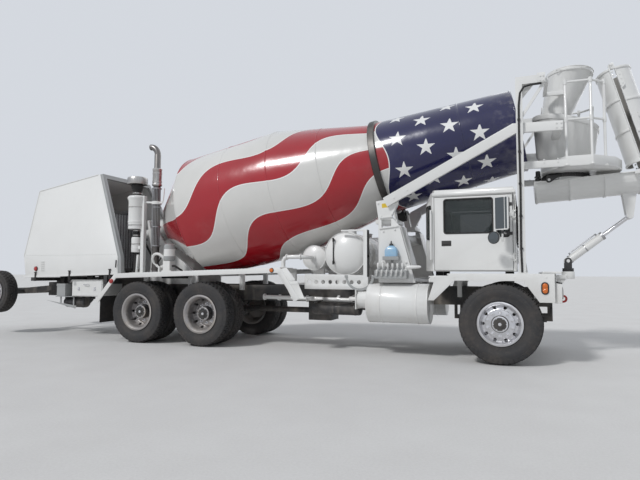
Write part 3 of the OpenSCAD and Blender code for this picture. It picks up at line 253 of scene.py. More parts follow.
class Shape:
    """A mesh in the making."""

    def __init__(self):
        self.bm = bmesh.new()

    def box(self, low, high):
        (a, b, c), (d, e, f) = low, high
        self.prism([(a, c), (d, c), (d, f), (a, f)], b, e)

    def prism(self, outline, y0, y1, place=None):
        """A plate in the XZ plane, from y0 to y1, whose outline may be turned by a matrix."""
        rings = [[self.bm.verts.new((x, y, z)) for x, z in outline] for y in (y0, y1)]
        count = len(outline)
        self.bm.faces.new(rings[0])
        self.bm.faces.new(rings[1][::-1])
        for i in range(count):
            j = (i + 1) % count
            self.bm.faces.new((rings[0][j], rings[0][i], rings[1][i], rings[1][j]))
        if place:
            bmesh.ops.transform(self.bm, matrix=place, verts=rings[0] + rings[1])

    def beam(self, start, end, width, height, up=UP):
        """A bar of rectangular section between two points."""
        start, end = Vector(start), Vector(end)
        along = (end - start).normalized()
        across = Vector(up).cross(along).normalized()
        over = along.cross(across)
        rings = [[self.bm.verts.new(p + across * a * width / 2 + over * b * height / 2)
                  for a, b in ((-1, -1), (1, -1), (1, 1), (-1, 1))] for p in (start, end)]
        self.loft(rings)

    def loft(self, rings, caps=True):
        """Skin over rings of points, the first and last closed."""
        for low, high in zip(rings, rings[1:]):
            for i in range(len(low)):
                j = (i + 1) % len(low)
                self.bm.faces.new((low[i], low[j], high[j], high[i]))
        if caps:
            self.bm.faces.new(rings[0][::-1])
            self.bm.faces.new(rings[-1])

    def tube(self, path, radius, steps=12):
        """A round bar or pipe along points, with mitred bends."""
        points = [Vector(p) for p in path]
        radii = radius if isinstance(radius, (list, tuple)) else [radius] * len(points)
        side = None
        rings = []
        for i, point in enumerate(points):
            ahead = (points[min(i + 1, len(points) - 1)] - points[max(i - 1, 0)]).normalized()
            if side is None:
                side = ahead.orthogonal().normalized()
            side = (side - ahead * side.dot(ahead)).normalized()
            other = ahead.cross(side)
            rings.append([self.bm.verts.new(point + (side * math.cos(a) + other * math.sin(a)) * radii[i])
                          for a in (2 * math.pi * k / steps for k in range(steps))])
        self.loft(rings)

    def turned(self, profile, centre, axis, steps=48, closed=False):
        """A profile of (distance along the axis, radius) turned about the axis. A closed one is a ring."""
        axis = Vector(axis).normalized()
        side = axis.orthogonal().normalized()
        other = axis.cross(side)
        rings = []
        for along, radius in profile:
            middle = Vector(centre) + axis * along
            if radius < 1e-6:
                rings.append([self.bm.verts.new(middle)])
                continue
            rings.append([self.bm.verts.new(middle + (side * math.cos(a) + other * math.sin(a)) * radius)
                          for a in (2 * math.pi * k / steps for k in range(steps))])
        pairs = list(zip(rings, rings[1:])) + ([(rings[-1], rings[0])] if closed else [])
        for low, high in pairs:
            for i in range(steps):
                j = (i + 1) % steps
                if len(low) == 1:
                    self.bm.faces.new((low[0], high[j], high[i]))
                elif len(high) == 1:
                    self.bm.faces.new((low[i], low[j], high[0]))
                else:
                    self.bm.faces.new((low[i], low[j], high[j], high[i]))
        if not closed:
            if len(rings[0]) > 1:
                self.bm.faces.new(rings[0][::-1])
            if len(rings[-1]) > 1:
                self.bm.faces.new(rings[-1])

    def band(self, low, high, inner, outer, centre, axis, steps):
        """A ring of rectangular section, from low to high along the axis."""
        self.turned([(low, inner), (low, outer), (high, outer), (high, inner)], centre, axis, steps,
                    closed=True)

    def bolt(self, centre, axis, radius=0.012, height=0.008):
        """A six-sided bolt head, slightly domed."""
        self.turned([(0.0, radius), (height, radius), (height + 0.002, 0.0)], centre, axis, 6)

    def mirrored(self):
        """Adds the same geometry on the truck's other side."""
        mirror(self.bm)
        return self

    def make(self, name, material, body="chassis", slot="white_paint", bevel=0.004, smooth=35, replaces=(),
             moved=True):
        """Turns the mesh into a piece, with its edges rounded, that rides on a body."""
        mesh = bpy.data.meshes.new(name)
        bmesh.ops.remove_doubles(self.bm, verts=self.bm.verts, dist=1e-5)
        bmesh.ops.recalc_face_normals(self.bm, faces=self.bm.faces)
        if moved:
            bmesh.ops.translate(self.bm, vec=(FRONT_AXLE, 0, 0), verts=self.bm.verts)
        self.bm.to_mesh(mesh)
        self.bm.free()
        mesh.materials.append(material)
        mesh.shade_smooth()
        mesh.set_sharp_from_angle(angle=math.radians(smooth))
        piece = bpy.data.objects.new(name, mesh)
        bpy.context.scene.collection.objects.link(piece)
        if bevel:
            soften(piece, bevel)
        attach(piece, body)
        if replaces:
            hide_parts(*replaces)
        return piece


def soften(piece, width):
    """Rounds a piece's edges, as pressed and welded steel has."""
    edge = piece.modifiers.new("edges", "BEVEL")
    edge.width, edge.segments, edge.limit_method = width, 2, "ANGLE"
    edge.angle_limit = math.radians(40)
    edge.harden_normals = True
    edge.use_clamp_overlap = True


def dress(node, material, bevel=0.004):
    """Gives a CAD node its finish, welds its loose triangles and rounds its edges."""
    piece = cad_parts[node]
    piece.data.materials.clear()
    piece.data.materials.append(material)
    for polygon in piece.data.polygons:
        polygon.use_smooth = True
    weld = piece.modifiers.new("weld", "WELD")
    weld.merge_threshold = 0.0002
    flatten = piece.modifiers.new("flatten", "DECIMATE")
    flatten.decimate_type, flatten.angle_limit = "DISSOLVE", math.radians(0.6)
    soften(piece, bevel)


def sprayed_steel(name, colour, rough=0.35, coat=0.3, dust=0.25, chips=0.3, bare=(0.3, 0.29, 0.28)):
    """Sprayed paint with a faint orange peel, road dust that thickens towards the ground, thin runs of
    grey cement water, and small chips down to the primer."""
    paint = Paint(name)
    height = paint.place(2)
    clouds = paint.noise(2.2, 5)
    runs = paint.noise(3.2, 4, vector=paint.stretched(2.6, 2.6, 0.22), seed=3.0)
    low = height.fade(0.3, 1.7, 1.0, 0.12)
    film = (clouds.fade(0.38, 0.72) * 0.6 + runs.fade(0.5, 0.78) * 0.6) * low
    tone = paint.noise(0.7, 3, seed=5.0).fade(0.3, 0.7)
    shade = paint.mix(tone * 0.35, colour, tuple(c * 0.86 for c in colour))
    dusty = paint.mix((film * dust * 2.2).least(0.9), shade, (0.42, 0.37, 0.31))
    flecks = paint.specks(34.0).fade(0.05, 0.075, 1.0, 0.0)
    chipped = flecks * paint.noise(1.7, 3, seed=9.0).fade(0.55, 0.7) * chips
    fine = paint.noise(160.0, 2)
    normal = paint.bump(fine, 0.00035)
    normal = paint.bump(paint.noise(1.6, 2, seed=2.0), 0.004, normal)
    return paint.finish(paint.mix(chipped, dusty, bare), (film * 0.45 + rough).least(0.95), normal, coat=coat)


chassis_black = sprayed_steel("chassis_black", (0.028, 0.028, 0.03), 0.5, 0.05, 0.33, chips=0.5)
for node in ("frame_rails", "axles", "tag_arm", "knuckle_left", "knuckle_right", "radiator", "engine_block"):
    dress(node, chassis_black, 0.005)


# White bodywork
# Cab, hood, fenders, mast and water tanks are welded steel sprayed one white, wiped over with dust and
# cement runs. The frames round the hood's opening and some brackets are a plain grey.
truck_white = sprayed_steel("truck_white", (0.80, 0.80, 0.785), 0.32, 0.35, 0.17)
frame_grey = sprayed_steel("frame_grey", (0.36, 0.37, 0.37), 0.45, 0.15, 0.2)
for node in ("front_bumper", "front_fenders", "cab_shell", "mast_frame", "charge_hopper", "collector",
             "service_balcony", "water_tanks", "front_pedestal", "rear_pedestal", "drum_gearbox",
             "engine_hood", "air_cleaner", "rear_fenders", "side_tanks", "door_left", "door_right",
             "main_chute", "fold_chute", "tip_chute", "chute_ram_barrel"):
    dress(node, truck_white)
dress("hood_frame", frame_grey)
for node in ("chute_turntable", "tag_ram_barrel", "roller_left", "roller_right"):
    dress(node, chassis_black)


def polished_steel(name, colour, rough, streaks=0.12):
    """Plated or polished metal with fine rubbing marks and a little dust."""
    paint = Paint(name)
    marks = paint.noise(26.0, 3, vector=paint.stretched(0.4, 0.4, 5.0))
    film = paint.noise(2.5, 5).fade(0.45, 0.75)
    return paint.finish(paint.mix(film * 0.35, colour, (0.36, 0.33, 0.29)),
                        marks * streaks + film * 0.2 + rough, paint.bump(marks, 0.0002),
                        metal=(1.0 - film * 0.35))


bright_steel = polished_steel("bright_steel", (0.72, 0.72, 0.74), 0.14)
dull_steel = polished_steel("dull_steel", (0.42, 0.42, 0.43), 0.38)
for node in ("chute_ram_rod", "tag_ram_rod", "valve_bank"):
    dress(node, bright_steel, 0.002)


def window_glass():
    """Tinted safety glass, dusty near its edges."""
    paint = Paint("window_glass")
    film = paint.noise(3.0, 4).fade(0.45, 0.8)
    return paint.finish((0.025, 0.035, 0.035), film * 0.12 + 0.03, coat=0.5,
                        extra={"Alpha": film * 0.1 + 0.55})


tinted_glass = window_glass()
for node in ("cab_glass", "door_glass_left", "door_glass_right"):
    dress(node, tinted_glass, 0.001)


def grained_plastic(name, colour):
    """Moulded plastic or vinyl with a leathery grain."""
    paint = Paint(name)
    grain = paint.specks(220.0) + paint.noise(90.0, 2) * 0.4
    tone = paint.noise(2.0, 3)
    return paint.finish(paint.mix(tone.fade(0.3, 0.8) * 0.5, colour, tuple(c * 0.7 + 0.02 for c in colour)),
                        tone * 0.2 + 0.5, paint.bump(grain, 0.0006))


cab_trim = grained_plastic("cab_trim", (0.05, 0.05, 0.052))
dress("cab_interior", cab_trim, 0.02)


def lamp_lens(name, colour):
    """A moulded lens with fine prisms inside."""
    paint = Paint(name)
    prisms = (paint.place(0) * 900.0).sine() * (paint.place(2) * 900.0).sine()
    return paint.finish(paint.mix(prisms.fade(-1.0, 1.0) * 0.5, colour, tuple(c * 0.55 for c in colour)),
                        0.15, paint.bump(prisms, 0.0003), coat=0.6)


amber_lens = lamp_lens("amber_lens", (0.75, 0.17, 0.01))
dress("lamps", amber_lens)


def old_rubber(name, colour, dust=0.5, grain=140.0):
    """Rubber with grey-brown road dust held in its low places."""
    paint = Paint(name)
    film = paint.noise(3.2, 5).fade(0.35, 0.75) * 0.6 + paint.noise(30.0, 4, seed=4.0).fade(0.45, 0.8) * 0.5
    return paint.finish(paint.mix(film * dust, colour, (0.17, 0.14, 0.115)), film * 0.15 + 0.7,
                        paint.bump(paint.noise(grain, 3), 0.0008))


flap_rubber = old_rubber("flap_rubber", (0.018, 0.018, 0.019), 0.35)
dress("mudflaps", flap_rubber, 0.002)


# Drum
# A rolled and welded steel shell with a conical rear head, painted in long waving red and white bands
# with thin white lines between, and a dark blue field with white stars ahead of its roller ring.
DRUM_TILT = math.radians(11.5)
DRUM_AXIS = Vector((math.cos(DRUM_TILT), 0, math.sin(DRUM_TILT)))
DRUM_POINT = Vector((-4.0, 0, 2.66))
DRUM_RADII = [(-2.37, 0.26), (-2.23, 0.52), (-1.455, 1.166), (0.4, 1.166), (2.065, 0.79), (2.245, 0.784),
              (4.38, 0.65)]
DRUM_WALL = 0.012
BAND_ARC, BAND_START, BAND_CLIMB = 36.0, 55.46, 20.7
WAVE_RATE, WAVE_LEAN, WAVE_COSINE, WAVE_SINE = 2.8, 2.0, 7.4, 8.57
BAND_LINE = 0.014
FIELD_START, FIELD_LINE = 2.30, 0.016
STAR_RADIUS, STAR_PITCH, STAR_ARC, STAR_FIRST_ARC, STAR_FIRST = 0.15, 0.82, 20.0, 62.5, 2.17
STAR_NOTCH, STAR_FLANK = 0.2245, 0.691  # the two factors of a five-pointed star's straight edge


def drum_paint():
    """Bands whose edges wave as they climb round the drum, and staggered rows of stars on a blue field.
    Lengths run along the drum's axis from DRUM_POINT, and angles are in degrees round it."""
    paint = Paint("drum_paint")
    x, y, z = (paint.place(i) for i in range(3))
    dx, dz = x - (FRONT_AXLE + DRUM_POINT.x), z - DRUM_POINT.z
    along = dx * math.cos(DRUM_TILT) + dz * math.sin(DRUM_TILT)
    up = dz * math.cos(DRUM_TILT) - dx * math.sin(DRUM_TILT)
    turn = paint.node("Math", {"operation": "ARCTAN2"}, {0: y * -1.0, 1: up})
    angle = turn * math.degrees(1)
    swell = along * WAVE_RATE - turn * WAVE_LEAN
    wave = swell.cosine() * WAVE_COSINE - swell.sine() * WAVE_SINE - along * BAND_CLIMB + BAND_START
    band = (angle - wave) / BAND_ARC
    red_band = band.wrap(2.0) < 1.0
    line = ((band + 0.5).wrap(1.0) - 0.5).size() < BAND_LINE
    red = paint.mix(paint.noise(0.9, 3).fade(0.3, 0.7), (0.40, 0.004, 0.013), (0.34, 0.004, 0.011))
    pale = paint.mix(paint.noise(1.1, 3).fade(0.3, 0.7), (0.70, 0.69, 0.665), (0.64, 0.635, 0.61))
    bands = paint.mix(line, paint.mix(red_band, pale, red), (0.84, 0.84, 0.82))

    row = ((angle - STAR_FIRST_ARC) / STAR_ARC).floor()
    odd_row = row.wrap(2.0) > 0.5
    local_radius = 0.925 - along * 0.0628
    off_arc = ((angle - STAR_FIRST_ARC).wrap(STAR_ARC) - STAR_ARC / 2) * math.radians(1) * local_radius
    off_along = (along - odd_row * (STAR_PITCH / 2) - STAR_FIRST).wrap(STAR_PITCH) - STAR_PITCH / 2
    whole = (along - off_along < 4.1) * (along - off_along > 2.45)
    tip = off_along * math.sin(DRUM_TILT) - off_arc * math.cos(DRUM_TILT)
    flank = off_along * math.cos(DRUM_TILT) + off_arc * math.sin(DRUM_TILT)
    reach = (tip * tip + flank * flank) ** 0.5
    fold = paint.node("Math", {"operation": "ARCTAN2"}, {0: flank, 1: tip})
    fold = fold.wrap(math.radians(36), -math.radians(36))
    edge = reach * fold.cosine() * STAR_NOTCH + reach * fold.sine().size() * STAR_FLANK
    star = (edge < STAR_NOTCH * STAR_RADIUS) * whole
    blue = paint.mix(paint.noise(0.9, 3).fade(0.3, 0.7), (0.006, 0.006, 0.058), (0.009, 0.009, 0.072))
    field = paint.mix(star, blue, (0.80, 0.80, 0.79))

    field_edge = along - ((angle - 95.0) * math.radians(4)).cosine() * 0.075 - FIELD_START
    colour = paint.mix(field_edge > 0.0, bands, paint.mix(field_edge < FIELD_LINE, field, (0.84, 0.84, 0.82)))
    splashes = along.fade(3.9, 4.4) * paint.noise(9.0, 5).fade(0.45, 0.75)
    film = paint.noise(1.5, 5, seed=7.0).fade(0.5, 0.85) * 0.12 + splashes * 0.3
    dusty = paint.mix(film, colour, (0.42, 0.40, 0.37))
    dents = paint.noise(1.4, 2, seed=1.0) + paint.noise(5.0, 2, seed=6.0) * 0.18
    return paint.finish(dusty, film * 0.5 + 0.2, paint.bump(dents, 0.012), coat=0.55)


shell = Shape()
inner = [(s + (DRUM_WALL if i == 1 else 0), r - DRUM_WALL) for i, (s, r) in enumerate(DRUM_RADII)][:0:-1]
shell.turned([(DRUM_RADII[0][0] - 0.06, 0.0), (DRUM_RADII[0][0] - 0.06, 0.23),
              (DRUM_RADII[0][0] - 0.001, 0.23)] + DRUM_RADII + inner + [(DRUM_RADII[1][0] + DRUM_WALL, 0.0)],
             DRUM_POINT, DRUM_AXIS, 144)
shell.make("drum_shell", drum_paint(), "drum", "red_paint", 0, 20, replaces=["drum"])

WELD_BEAD = ((-0.014, -0.004), (-0.006, 0.005), (0.006, 0.005), (0.014, -0.004))
seams = Shape()
for s, r in ((-1.455, 1.166), (-0.53, 1.166), (0.4, 1.166), (1.24, 0.977), (3.55, 0.705), (4.36, 0.655)):
    seams.turned([(s + a, r + b) for a, b in WELD_BEAD], DRUM_POINT, DRUM_AXIS, 96, closed=True)
seams.make("drum_welds", drum_paint(), "drum", "red_paint", 0, 60)

track = Shape()
TRACK = ((-0.055, 0.775), (-0.055, 0.822), (-0.046, 0.83), (0.046, 0.83), (0.055, 0.822), (0.055, 0.775))
track.turned([(2.155 + a, r) for a, r in TRACK], DRUM_POINT, DRUM_AXIS, 144, closed=True)
ring_steel = polished_steel("ring_steel", (0.085, 0.082, 0.080), 0.34)
track.make("drum_roller_ring", ring_steel, "drum", "black_steel", 0.0)


# Wheels
# Tubeless truck tyres with a deep open tread, dusty on their flanks. The steered wheels are polished
# aluminium discs, the others dished steel, each held by ten nuts round a black oil-filled hub.
def node_tree(name, inputs, build):
    """A Geometry Nodes tree with a geometry in and out and the named inputs."""
    tree = bpy.data.node_groups.new(name, "GeometryNodeTree")
    for label, kind in [("Geometry", "Geometry"), *inputs, ("Material", "Material")]:
        tree.interface.new_socket(label, in_out="INPUT", socket_type="NodeSocket" + kind)
    tree.interface.new_socket("Geometry", in_out="OUTPUT", socket_type="NodeSocketGeometry")
    given, result = tree.nodes.new("NodeGroupInput"), tree.nodes.new("NodeGroupOutput")

    def node(kind, values=None, out=0, **settings):
        made = tree.nodes.new(kind)
        for key, value in settings.items():
            setattr(made, key, value)
        for key, value in (values or {}).items():
            if hasattr(value, "is_output"):
                tree.links.new(value, made.inputs[key])
            else:
                made.inputs[key].default_value = value
        return made.outputs[out]
    copies = build(node, given.outputs)
    solid = node("GeometryNodeRealizeInstances", {0: copies})
    painted = node("GeometryNodeSetMaterial", {"Geometry": solid, "Material": given.outputs["Material"]})
    tree.links.new(painted, result.inputs[0])
    return tree


def round_an_axis(node, given):
    share = node("ShaderNodeMath", {0: given["Arc"], 1: given["Count"]}, operation="DIVIDE")
    turn = node("ShaderNodeMath", {0: node("GeometryNodeInputIndex"), 1: share}, operation="MULTIPLY")
    turned = node("FunctionNodeAxisAngleToRotation", {"Axis": given["Axis"], "Angle": turn})
    points = node("GeometryNodePoints", {"Count": given["Count"]})
    copies = node("GeometryNodeInstanceOnPoints",
                  {"Points": points, "Instance": given["Geometry"], "Rotation": turned})
    return node("GeometryNodeTransform", {"Geometry": copies, "Translation": given["Centre"]})


def along_a_line(node, given):
    points = node("GeometryNodeMeshLine", {"Count": given["Count"], "Offset": given["Step"]}, mode="OFFSET")
    return node("GeometryNodeInstanceOnPoints", {"Points": points, "Instance": given["Geometry"]})


RING = node_tree("copies_round_an_axis", [("Count", "Int"), ("Arc", "Float"), ("Axis", "Vector"),
                                          ("Centre", "Vector")], round_an_axis)
ROW = node_tree("copies_along_a_line", [("Count", "Int"), ("Step", "Vector")], along_a_line)


def repeated(shape, name, material, tree, body="chassis", slot="white_paint", both=False, **inputs):
    """Runs a tree on a small mesh and keeps the plain result as one piece."""
    piece = shape.make(name, material, body, slot, 0, 30, moved=False)
    maker = piece.modifiers.new("maker", "NODES")
    maker.node_group = tree
    for item in tree.interface.items_tree:
        if item.in_out == "INPUT" and item.name != "Geometry":
            maker[item.identifier] = material if item.name == "Material" else inputs[item.name.lower()]
    made = bpy.data.meshes.new_from_object(piece.evaluated_get(bpy.context.evaluated_depsgraph_get()))
    piece.modifiers.clear()
    piece.data = made
    if both:
        bm = bmesh.new()
        bm.from_mesh(made)
        mirror(bm)
        bm.to_mesh(made)
        bm.free()
    made.transform(Matrix.Translation((FRONT_AXLE, 0, 0)))
    return piece


def tyre_flanks(shape, centre, diameter, width, bead, depth):
    """A tyre without its tread: bead, rim guard, flank with its moulded rings, shoulder and tread base."""
    r, b, w = diameter / 2, bead / 2 + 0.0003, width
    m = (r + b) / 2
    half = [(b, 0.36), (b + 0.012, 0.405), (b + 0.024, 0.42), (b + 0.032, 0.436), (b + 0.038, 0.436),
            (b + 0.046, 0.432), (m - 0.03, 0.49), (m, 0.5), (m + 0.03, 0.499), (r - 0.082, 0.486),
            (r - 0.079, 0.492), (r - 0.07, 0.49), (r - 0.066, 0.481), (r - 0.045, 0.47), (r - 0.026, 0.446),
            (r - depth - 0.004, 0.405), (r - depth, 0.2)]
    seat = [(-0.33 * w, b - 0.002), (0.33 * w, b - 0.002)]
    profile = [(y * w, a) for a, y in half] + [(-y * w, a) for a, y in half[::-1]] + seat
    shape.turned(profile, centre, LEFT, 96, closed=True)


def tread_pitch(width, radius, rows, length, depth):
    """One pitch of the tread: a block in each row, staggered from row to row, each with a narrow cut."""
    pitch = Shape()
    land = 0.80 * width / rows
    for i in range(rows):
        y = (i - (rows - 1) / 2) * land * 1.03
        top = radius - 0.010 * (y / (0.4 * width)) ** 2
        shift = (i % 2) * length * 0.5
        outer = i in (0, rows - 1)
        for part in (-1, 1):
            a = shift + part * length * 0.215
            half = length * (0.185 if outer else 0.165)
            skew = 0.006 * part
            corners = [(a + sx * half + sy * skew, y + sy * land * 0.43)
                       for sx, sy in ((-1, -1), (1, -1), (1, 1), (-1, 1))]
            pitch.loft([[pitch.bm.verts.new((x, across, z)) for x, across in corners]
                        for z in (top - depth - 0.006, top)])
        if outer:
            hand = 1 if i else -1
            steps = ((0.375, radius - depth - 0.006, radius - 0.011), (0.450, radius - 0.050, radius - 0.021),
                     (0.484, radius - 0.068, radius - 0.056))
            pitch.loft([[pitch.bm.verts.new((shift + sx * length * 0.36, hand * across * width, z))
                         for sx, z in ((-1, low), (1, low), (1, high), (-1, high))]
                        for across, low, high in steps])
    for vert in pitch.bm.verts:
        turn = vert.co.x / radius
        vert.co.x, vert.co.z = vert.co.z * math.sin(turn), vert.co.z * math.cos(turn)
    return pitch


tyre_rubber = old_rubber("tyre_rubber", (0.030, 0.030, 0.032), 0.38, 90.0)
aluminium = polished_steel("front_alloy", (0.66, 0.66, 0.68), 0.24, 0.2)
wheel_steel = sprayed_steel("wheel_steel", (0.40, 0.385, 0.385), 0.30, 0.2, 0.4)
wheel_steel.node_tree.nodes["Principled BSDF"].inputs["Metallic"].default_value = 0.75
hub_black = sprayed_steel("hub_black", (0.012, 0.012, 0.013), 0.35, 0.4, 0.10, chips=0.2)
TREAD_DEPTH = 0.016
TYRES = {  # diameter, width, bead, rows of tread blocks, pitches
    "front": (1.124, 0.420, 0.590, 6, 46),
    "rear": (1.104, 0.275, 0.640, 4, 44),
    "tag": (0.870, 0.265, 0.500, 4, 38)}
# Of each wheel: body, node, kind, x, centre height, y of each tyre, y of the face under the nuts, nuts'
# radius, hub radius and y of the hub's end.
WHEELS = [
    ("front_wheel", "front_tyre", "front", 0.0, 0.562, [1.010], 1.160, 0.167, 0.107, 1.215),
    ("rear_wheel_1", "rear_tyres_1", "rear", -4.85, 0.552, [1.0825, 0.7525], 0.9775, 0.167, 0.115, 1.1025),
    ("rear_wheel_2", "rear_tyres_2", "rear", -6.19, 0.552, [1.0825, 0.7525], 0.9775, 0.167, 0.115, 1.1025),
    ("tag_wheel", "tag_tyre", "tag", -9.87, 0.860, [1.0775], 1.1425, 0.137, 0.090, 1.1895)]
for body, node, kind, x, z, places, face_y, nuts_r, hub_r, hub_end in WHEELS:
    diameter, width, bead, rows, pitches = TYRES[kind]
    for side, hand in (("left", 1), ("right", -1)):
        wheel, face, outward = f"{body}_{side}", (x, hand * face_y, z), (0, hand, 0)
        rubber = Shape()
        for y in places:
            tyre_flanks(rubber, (x, hand * y, z), diameter, width, bead, TREAD_DEPTH)
        rubber.make(f"{node}_body_{side}", tyre_rubber, wheel, "tyre_rubber", 0, 40,
                    replaces=[f"{node}_{side}"])
        for number, y in enumerate(places):
            repeated(tread_pitch(width, diameter / 2, rows, math.pi * diameter / pitches, TREAD_DEPTH),
                     f"{node}_tread_{side}_{number}", tyre_rubber, RING, wheel, "tyre_rubber",
                     count=pitches, arc=2 * math.pi, axis=LEFT, centre=(x, hand * y, z))
        cap, out = Shape(), hub_end - face_y
        cap.turned([(0.0005, hub_r + 0.012), (0.010, hub_r + 0.012), (0.016, hub_r + 0.003),
                    (out - 0.014, hub_r + 0.002), (out - 0.002, hub_r - 0.006), (out + 0.002, hub_r - 0.030),
                    (out + 0.002, 0.052), (out + 0.012, 0.048), (out + 0.014, 0.0)], face, outward, 40)
        cap.make(f"{node}_hub_{side}", hub_black, wheel, "black_steel", 0, 30)
        plug, bolts_r = Shape(), hub_r - 0.020
        plug.turned([(out + 0.012, 0.024), (out + 0.018, 0.022), (out + 0.020, 0.0)], face, outward, 20)
        for turn in (math.radians(60 * k) for k in range(6)):
            at = (x + bolts_r * math.cos(turn), hand * face_y, z + bolts_r * math.sin(turn))
            plug.turned([(out + 0.001, 0.009), (out + 0.008, 0.009), (out + 0.009, 0.0)], at, outward, 6)
        plug.make(f"{node}_hub_plug_{side}", bright_steel, wheel, "bright_steel", 0, 30)
        nut, first = Shape(), (0, 0, nuts_r)
        nut.turned([(0.0, 0.025), (0.007, 0.025), (0.008, 0.0165)], first, outward, 12)
        nut.turned([(0.006, 0.0175), (0.034, 0.0165), (0.037, 0.012), (0.037, 0.009)], first, outward, 6)
        nut.turned([(0.03, 0.0095), (0.05, 0.0095), (0.052, 0.007)], first, outward, 10)
        repeated(nut, f"{node}_nuts_{side}", bright_steel, RING, wheel, "bright_steel",
                 count=10, arc=2 * math.pi, axis=LEFT, centre=face)
        dress(f"{node.replace('tyres', 'rim').replace('tyre', 'rim')}_{side}",
              aluminium if kind == "front" else wheel_steel, 0.003)


# Cab
# A welded steel box with flat glass in black rubber channels, a lift-up latch at each door, a louvred
# heater intake, two wipers, and mirrors of silvered glass in black shells on the doors' frames.
black_rubber = old_rubber("seal_rubber", (0.016, 0.016, 0.017), 0.15, 60.0)


def rubber_channel(shape, outline, y0, y1, width=0.022):
    """A frame of constant width round a window, between two planes in Y."""
    count = len(outline)
    centre = Vector((sum(p[0] for p in outline) / count, sum(p[1] for p in outline) / count))
    grown = []
    for i in range(count):
        here = Vector(outline[i])
        before = (here - Vector(outline[i - 1])).normalized()
        after = (Vector(outline[(i + 1) % count]) - here).normalized()
        normal = Vector((before.y + after.y, -before.x - after.x)).normalized()
        normal = normal if normal.dot(here - centre) > 0 else -normal
        grown.append(here + normal * width / max(0.5, abs(normal.dot(Vector((after.y, -after.x))))))
    inner = [here - (g - here) * 0.25 for here, g in zip(map(Vector, outline), grown)]
    rings = [[shape.bm.verts.new((p.x, y, p.y)) for p in loop] for loop, y in
             ((grown, y0), (grown, y1), (inner, y1), (inner, y0))]
    for i in range(count):
        j = (i + 1) % count
        for k in range(4):
            a, b = rings[k], rings[(k + 1) % 4]
            shape.bm.faces.new((a[i], a[j], b[j], b[i]))


def rounded(x0, z0, x1, z1, r, steps=5):
    """Corner points of a rectangle with rounded corners."""
    points = []
    for cx, cz, start in ((x1 - r, z1 - r, 0), (x0 + r, z1 - r, 90), (x0 + r, z0 + r, 180),
                          (x1 - r, z0 + r, 270)):
        for a in (math.radians(start + 90 * i / steps) for i in range(steps + 1)):
            points.append((cx + r * math.cos(a), cz + r * math.sin(a)))
    return points


def silvered_glass():
    """A mirror that shows the pale sky and a little dirt."""
    paint = Paint("mirror_glass")
    film = paint.noise(6.0, 4).fade(0.4, 0.8)
    return paint.finish((0.10, 0.115, 0.125), film * 0.2 + 0.06, metal=0.6, coat=0.4)


mirror_glass = silvered_glass()
seals = Shape()
rubber_channel(seals, rounded(-0.755, 1.845, -0.085, 2.335, 0.03), 1.012, 1.026, 0.016)
rubber_channel(seals, rounded(-0.015, 1.785, 0.135, 2.335, 0.025), 1.012, 1.026, 0.016)
for side, hand in (("left", 1), ("right", -1)):
    door, outward = f"door_{side}", (0, hand, 0)
    mine = Shape()
    mine.bm = seals.bm.copy()
    if hand < 0:
        bmesh.ops.scale(mine.bm, vec=(1, -1, 1), verts=mine.bm.verts)
    mine.make(f"door_seals_{side}", black_rubber, door, "cab_trim", 0.003)
    latch = Shape()
    latch.box((-0.80, hand * 1.019 - 0.004, 1.655), (-0.66, hand * 1.019 + 0.004, 1.735))
    latch.box((-0.785, hand * 1.026 - 0.010, 1.685), (-0.675, hand * 1.026 + 0.010, 1.71))
    latch.tube([(-0.77, hand * 1.02, 1.67), (-0.77, hand * 1.034, 1.67)], 0.011, 16)
    latch.make(f"door_latch_{side}", chassis_black, door, "black_steel", 0.003)
    mirror_place = (Matrix.Scale(hand, 4, LEFT) @ Matrix.Translation((0.060, 1.310, 1.850))
                    @ Matrix.Rotation(math.radians(25), 4, "Z") @ Matrix.Translation((-0.100, 0.005, 0)))
    panes = Shape()
    for x0, x1 in ((0.0145, 0.1455), (0.1545, 0.1855)):
        panes.prism(rounded(x0, 0.0145, x1, 0.4455, 0.012, 3), 0.0235, 0.0262, mirror_place)
    convex = (Matrix.Scale(hand, 4, LEFT) @ Matrix.Translation((-0.045, 1.318, 1.745))
              @ Matrix.Rotation(math.radians(30), 4, "Z"))
    middle, facing = convex @ Vector((0, 0, 0)), convex.to_3x3() @ Vector(LEFT)
    panes.turned([(0.021, 0.079), (0.0235, 0.079), (0.0285, 0.052), (0.030, 0.0)], middle, facing, 40)
    panes.make(f"mirror_glass_{side}", mirror_glass, door, "window_glass", 0)
    shrouds = Shape()
    shrouds.turned([(0.024, 0.079), (0.027, 0.080), (0.029, 0.0855), (0.012, 0.0862), (-0.010, 0.078),
                    (-0.028, 0.045), (-0.032, 0.0)], middle, facing, 40)
    shrouds.prism(rounded(0.02, 0.02, 0.18, 0.44, 0.03, 4), -0.012, 0.001, mirror_place)
    for z in (0.09, 0.37):
        shrouds.prism([(0.075, z - 0.025), (0.125, z - 0.025), (0.125, z + 0.025), (0.075, z + 0.025)],
                      -0.030, -0.011, mirror_place)
    for z in (1.82, 2.24):
        shrouds.turned([(-0.022, 0.014), (-0.018, 0.019), (0.018, 0.019), (0.022, 0.014)],
                       (0.060, hand * 1.310, z), UP, 20)
        shrouds.turned([(0.0, 0.034), (0.006, 0.034), (0.016, 0.016)], (0.1, hand * 1.0195, z), outward, 20)
        shrouds.box((0.080, hand * 1.025 - 0.006, z - 0.022), (0.183, hand * 1.025 + 0.006, z + 0.022))
    shrouds.make(f"mirror_backs_{side}", chassis_black, door, "black_steel", 0.002)

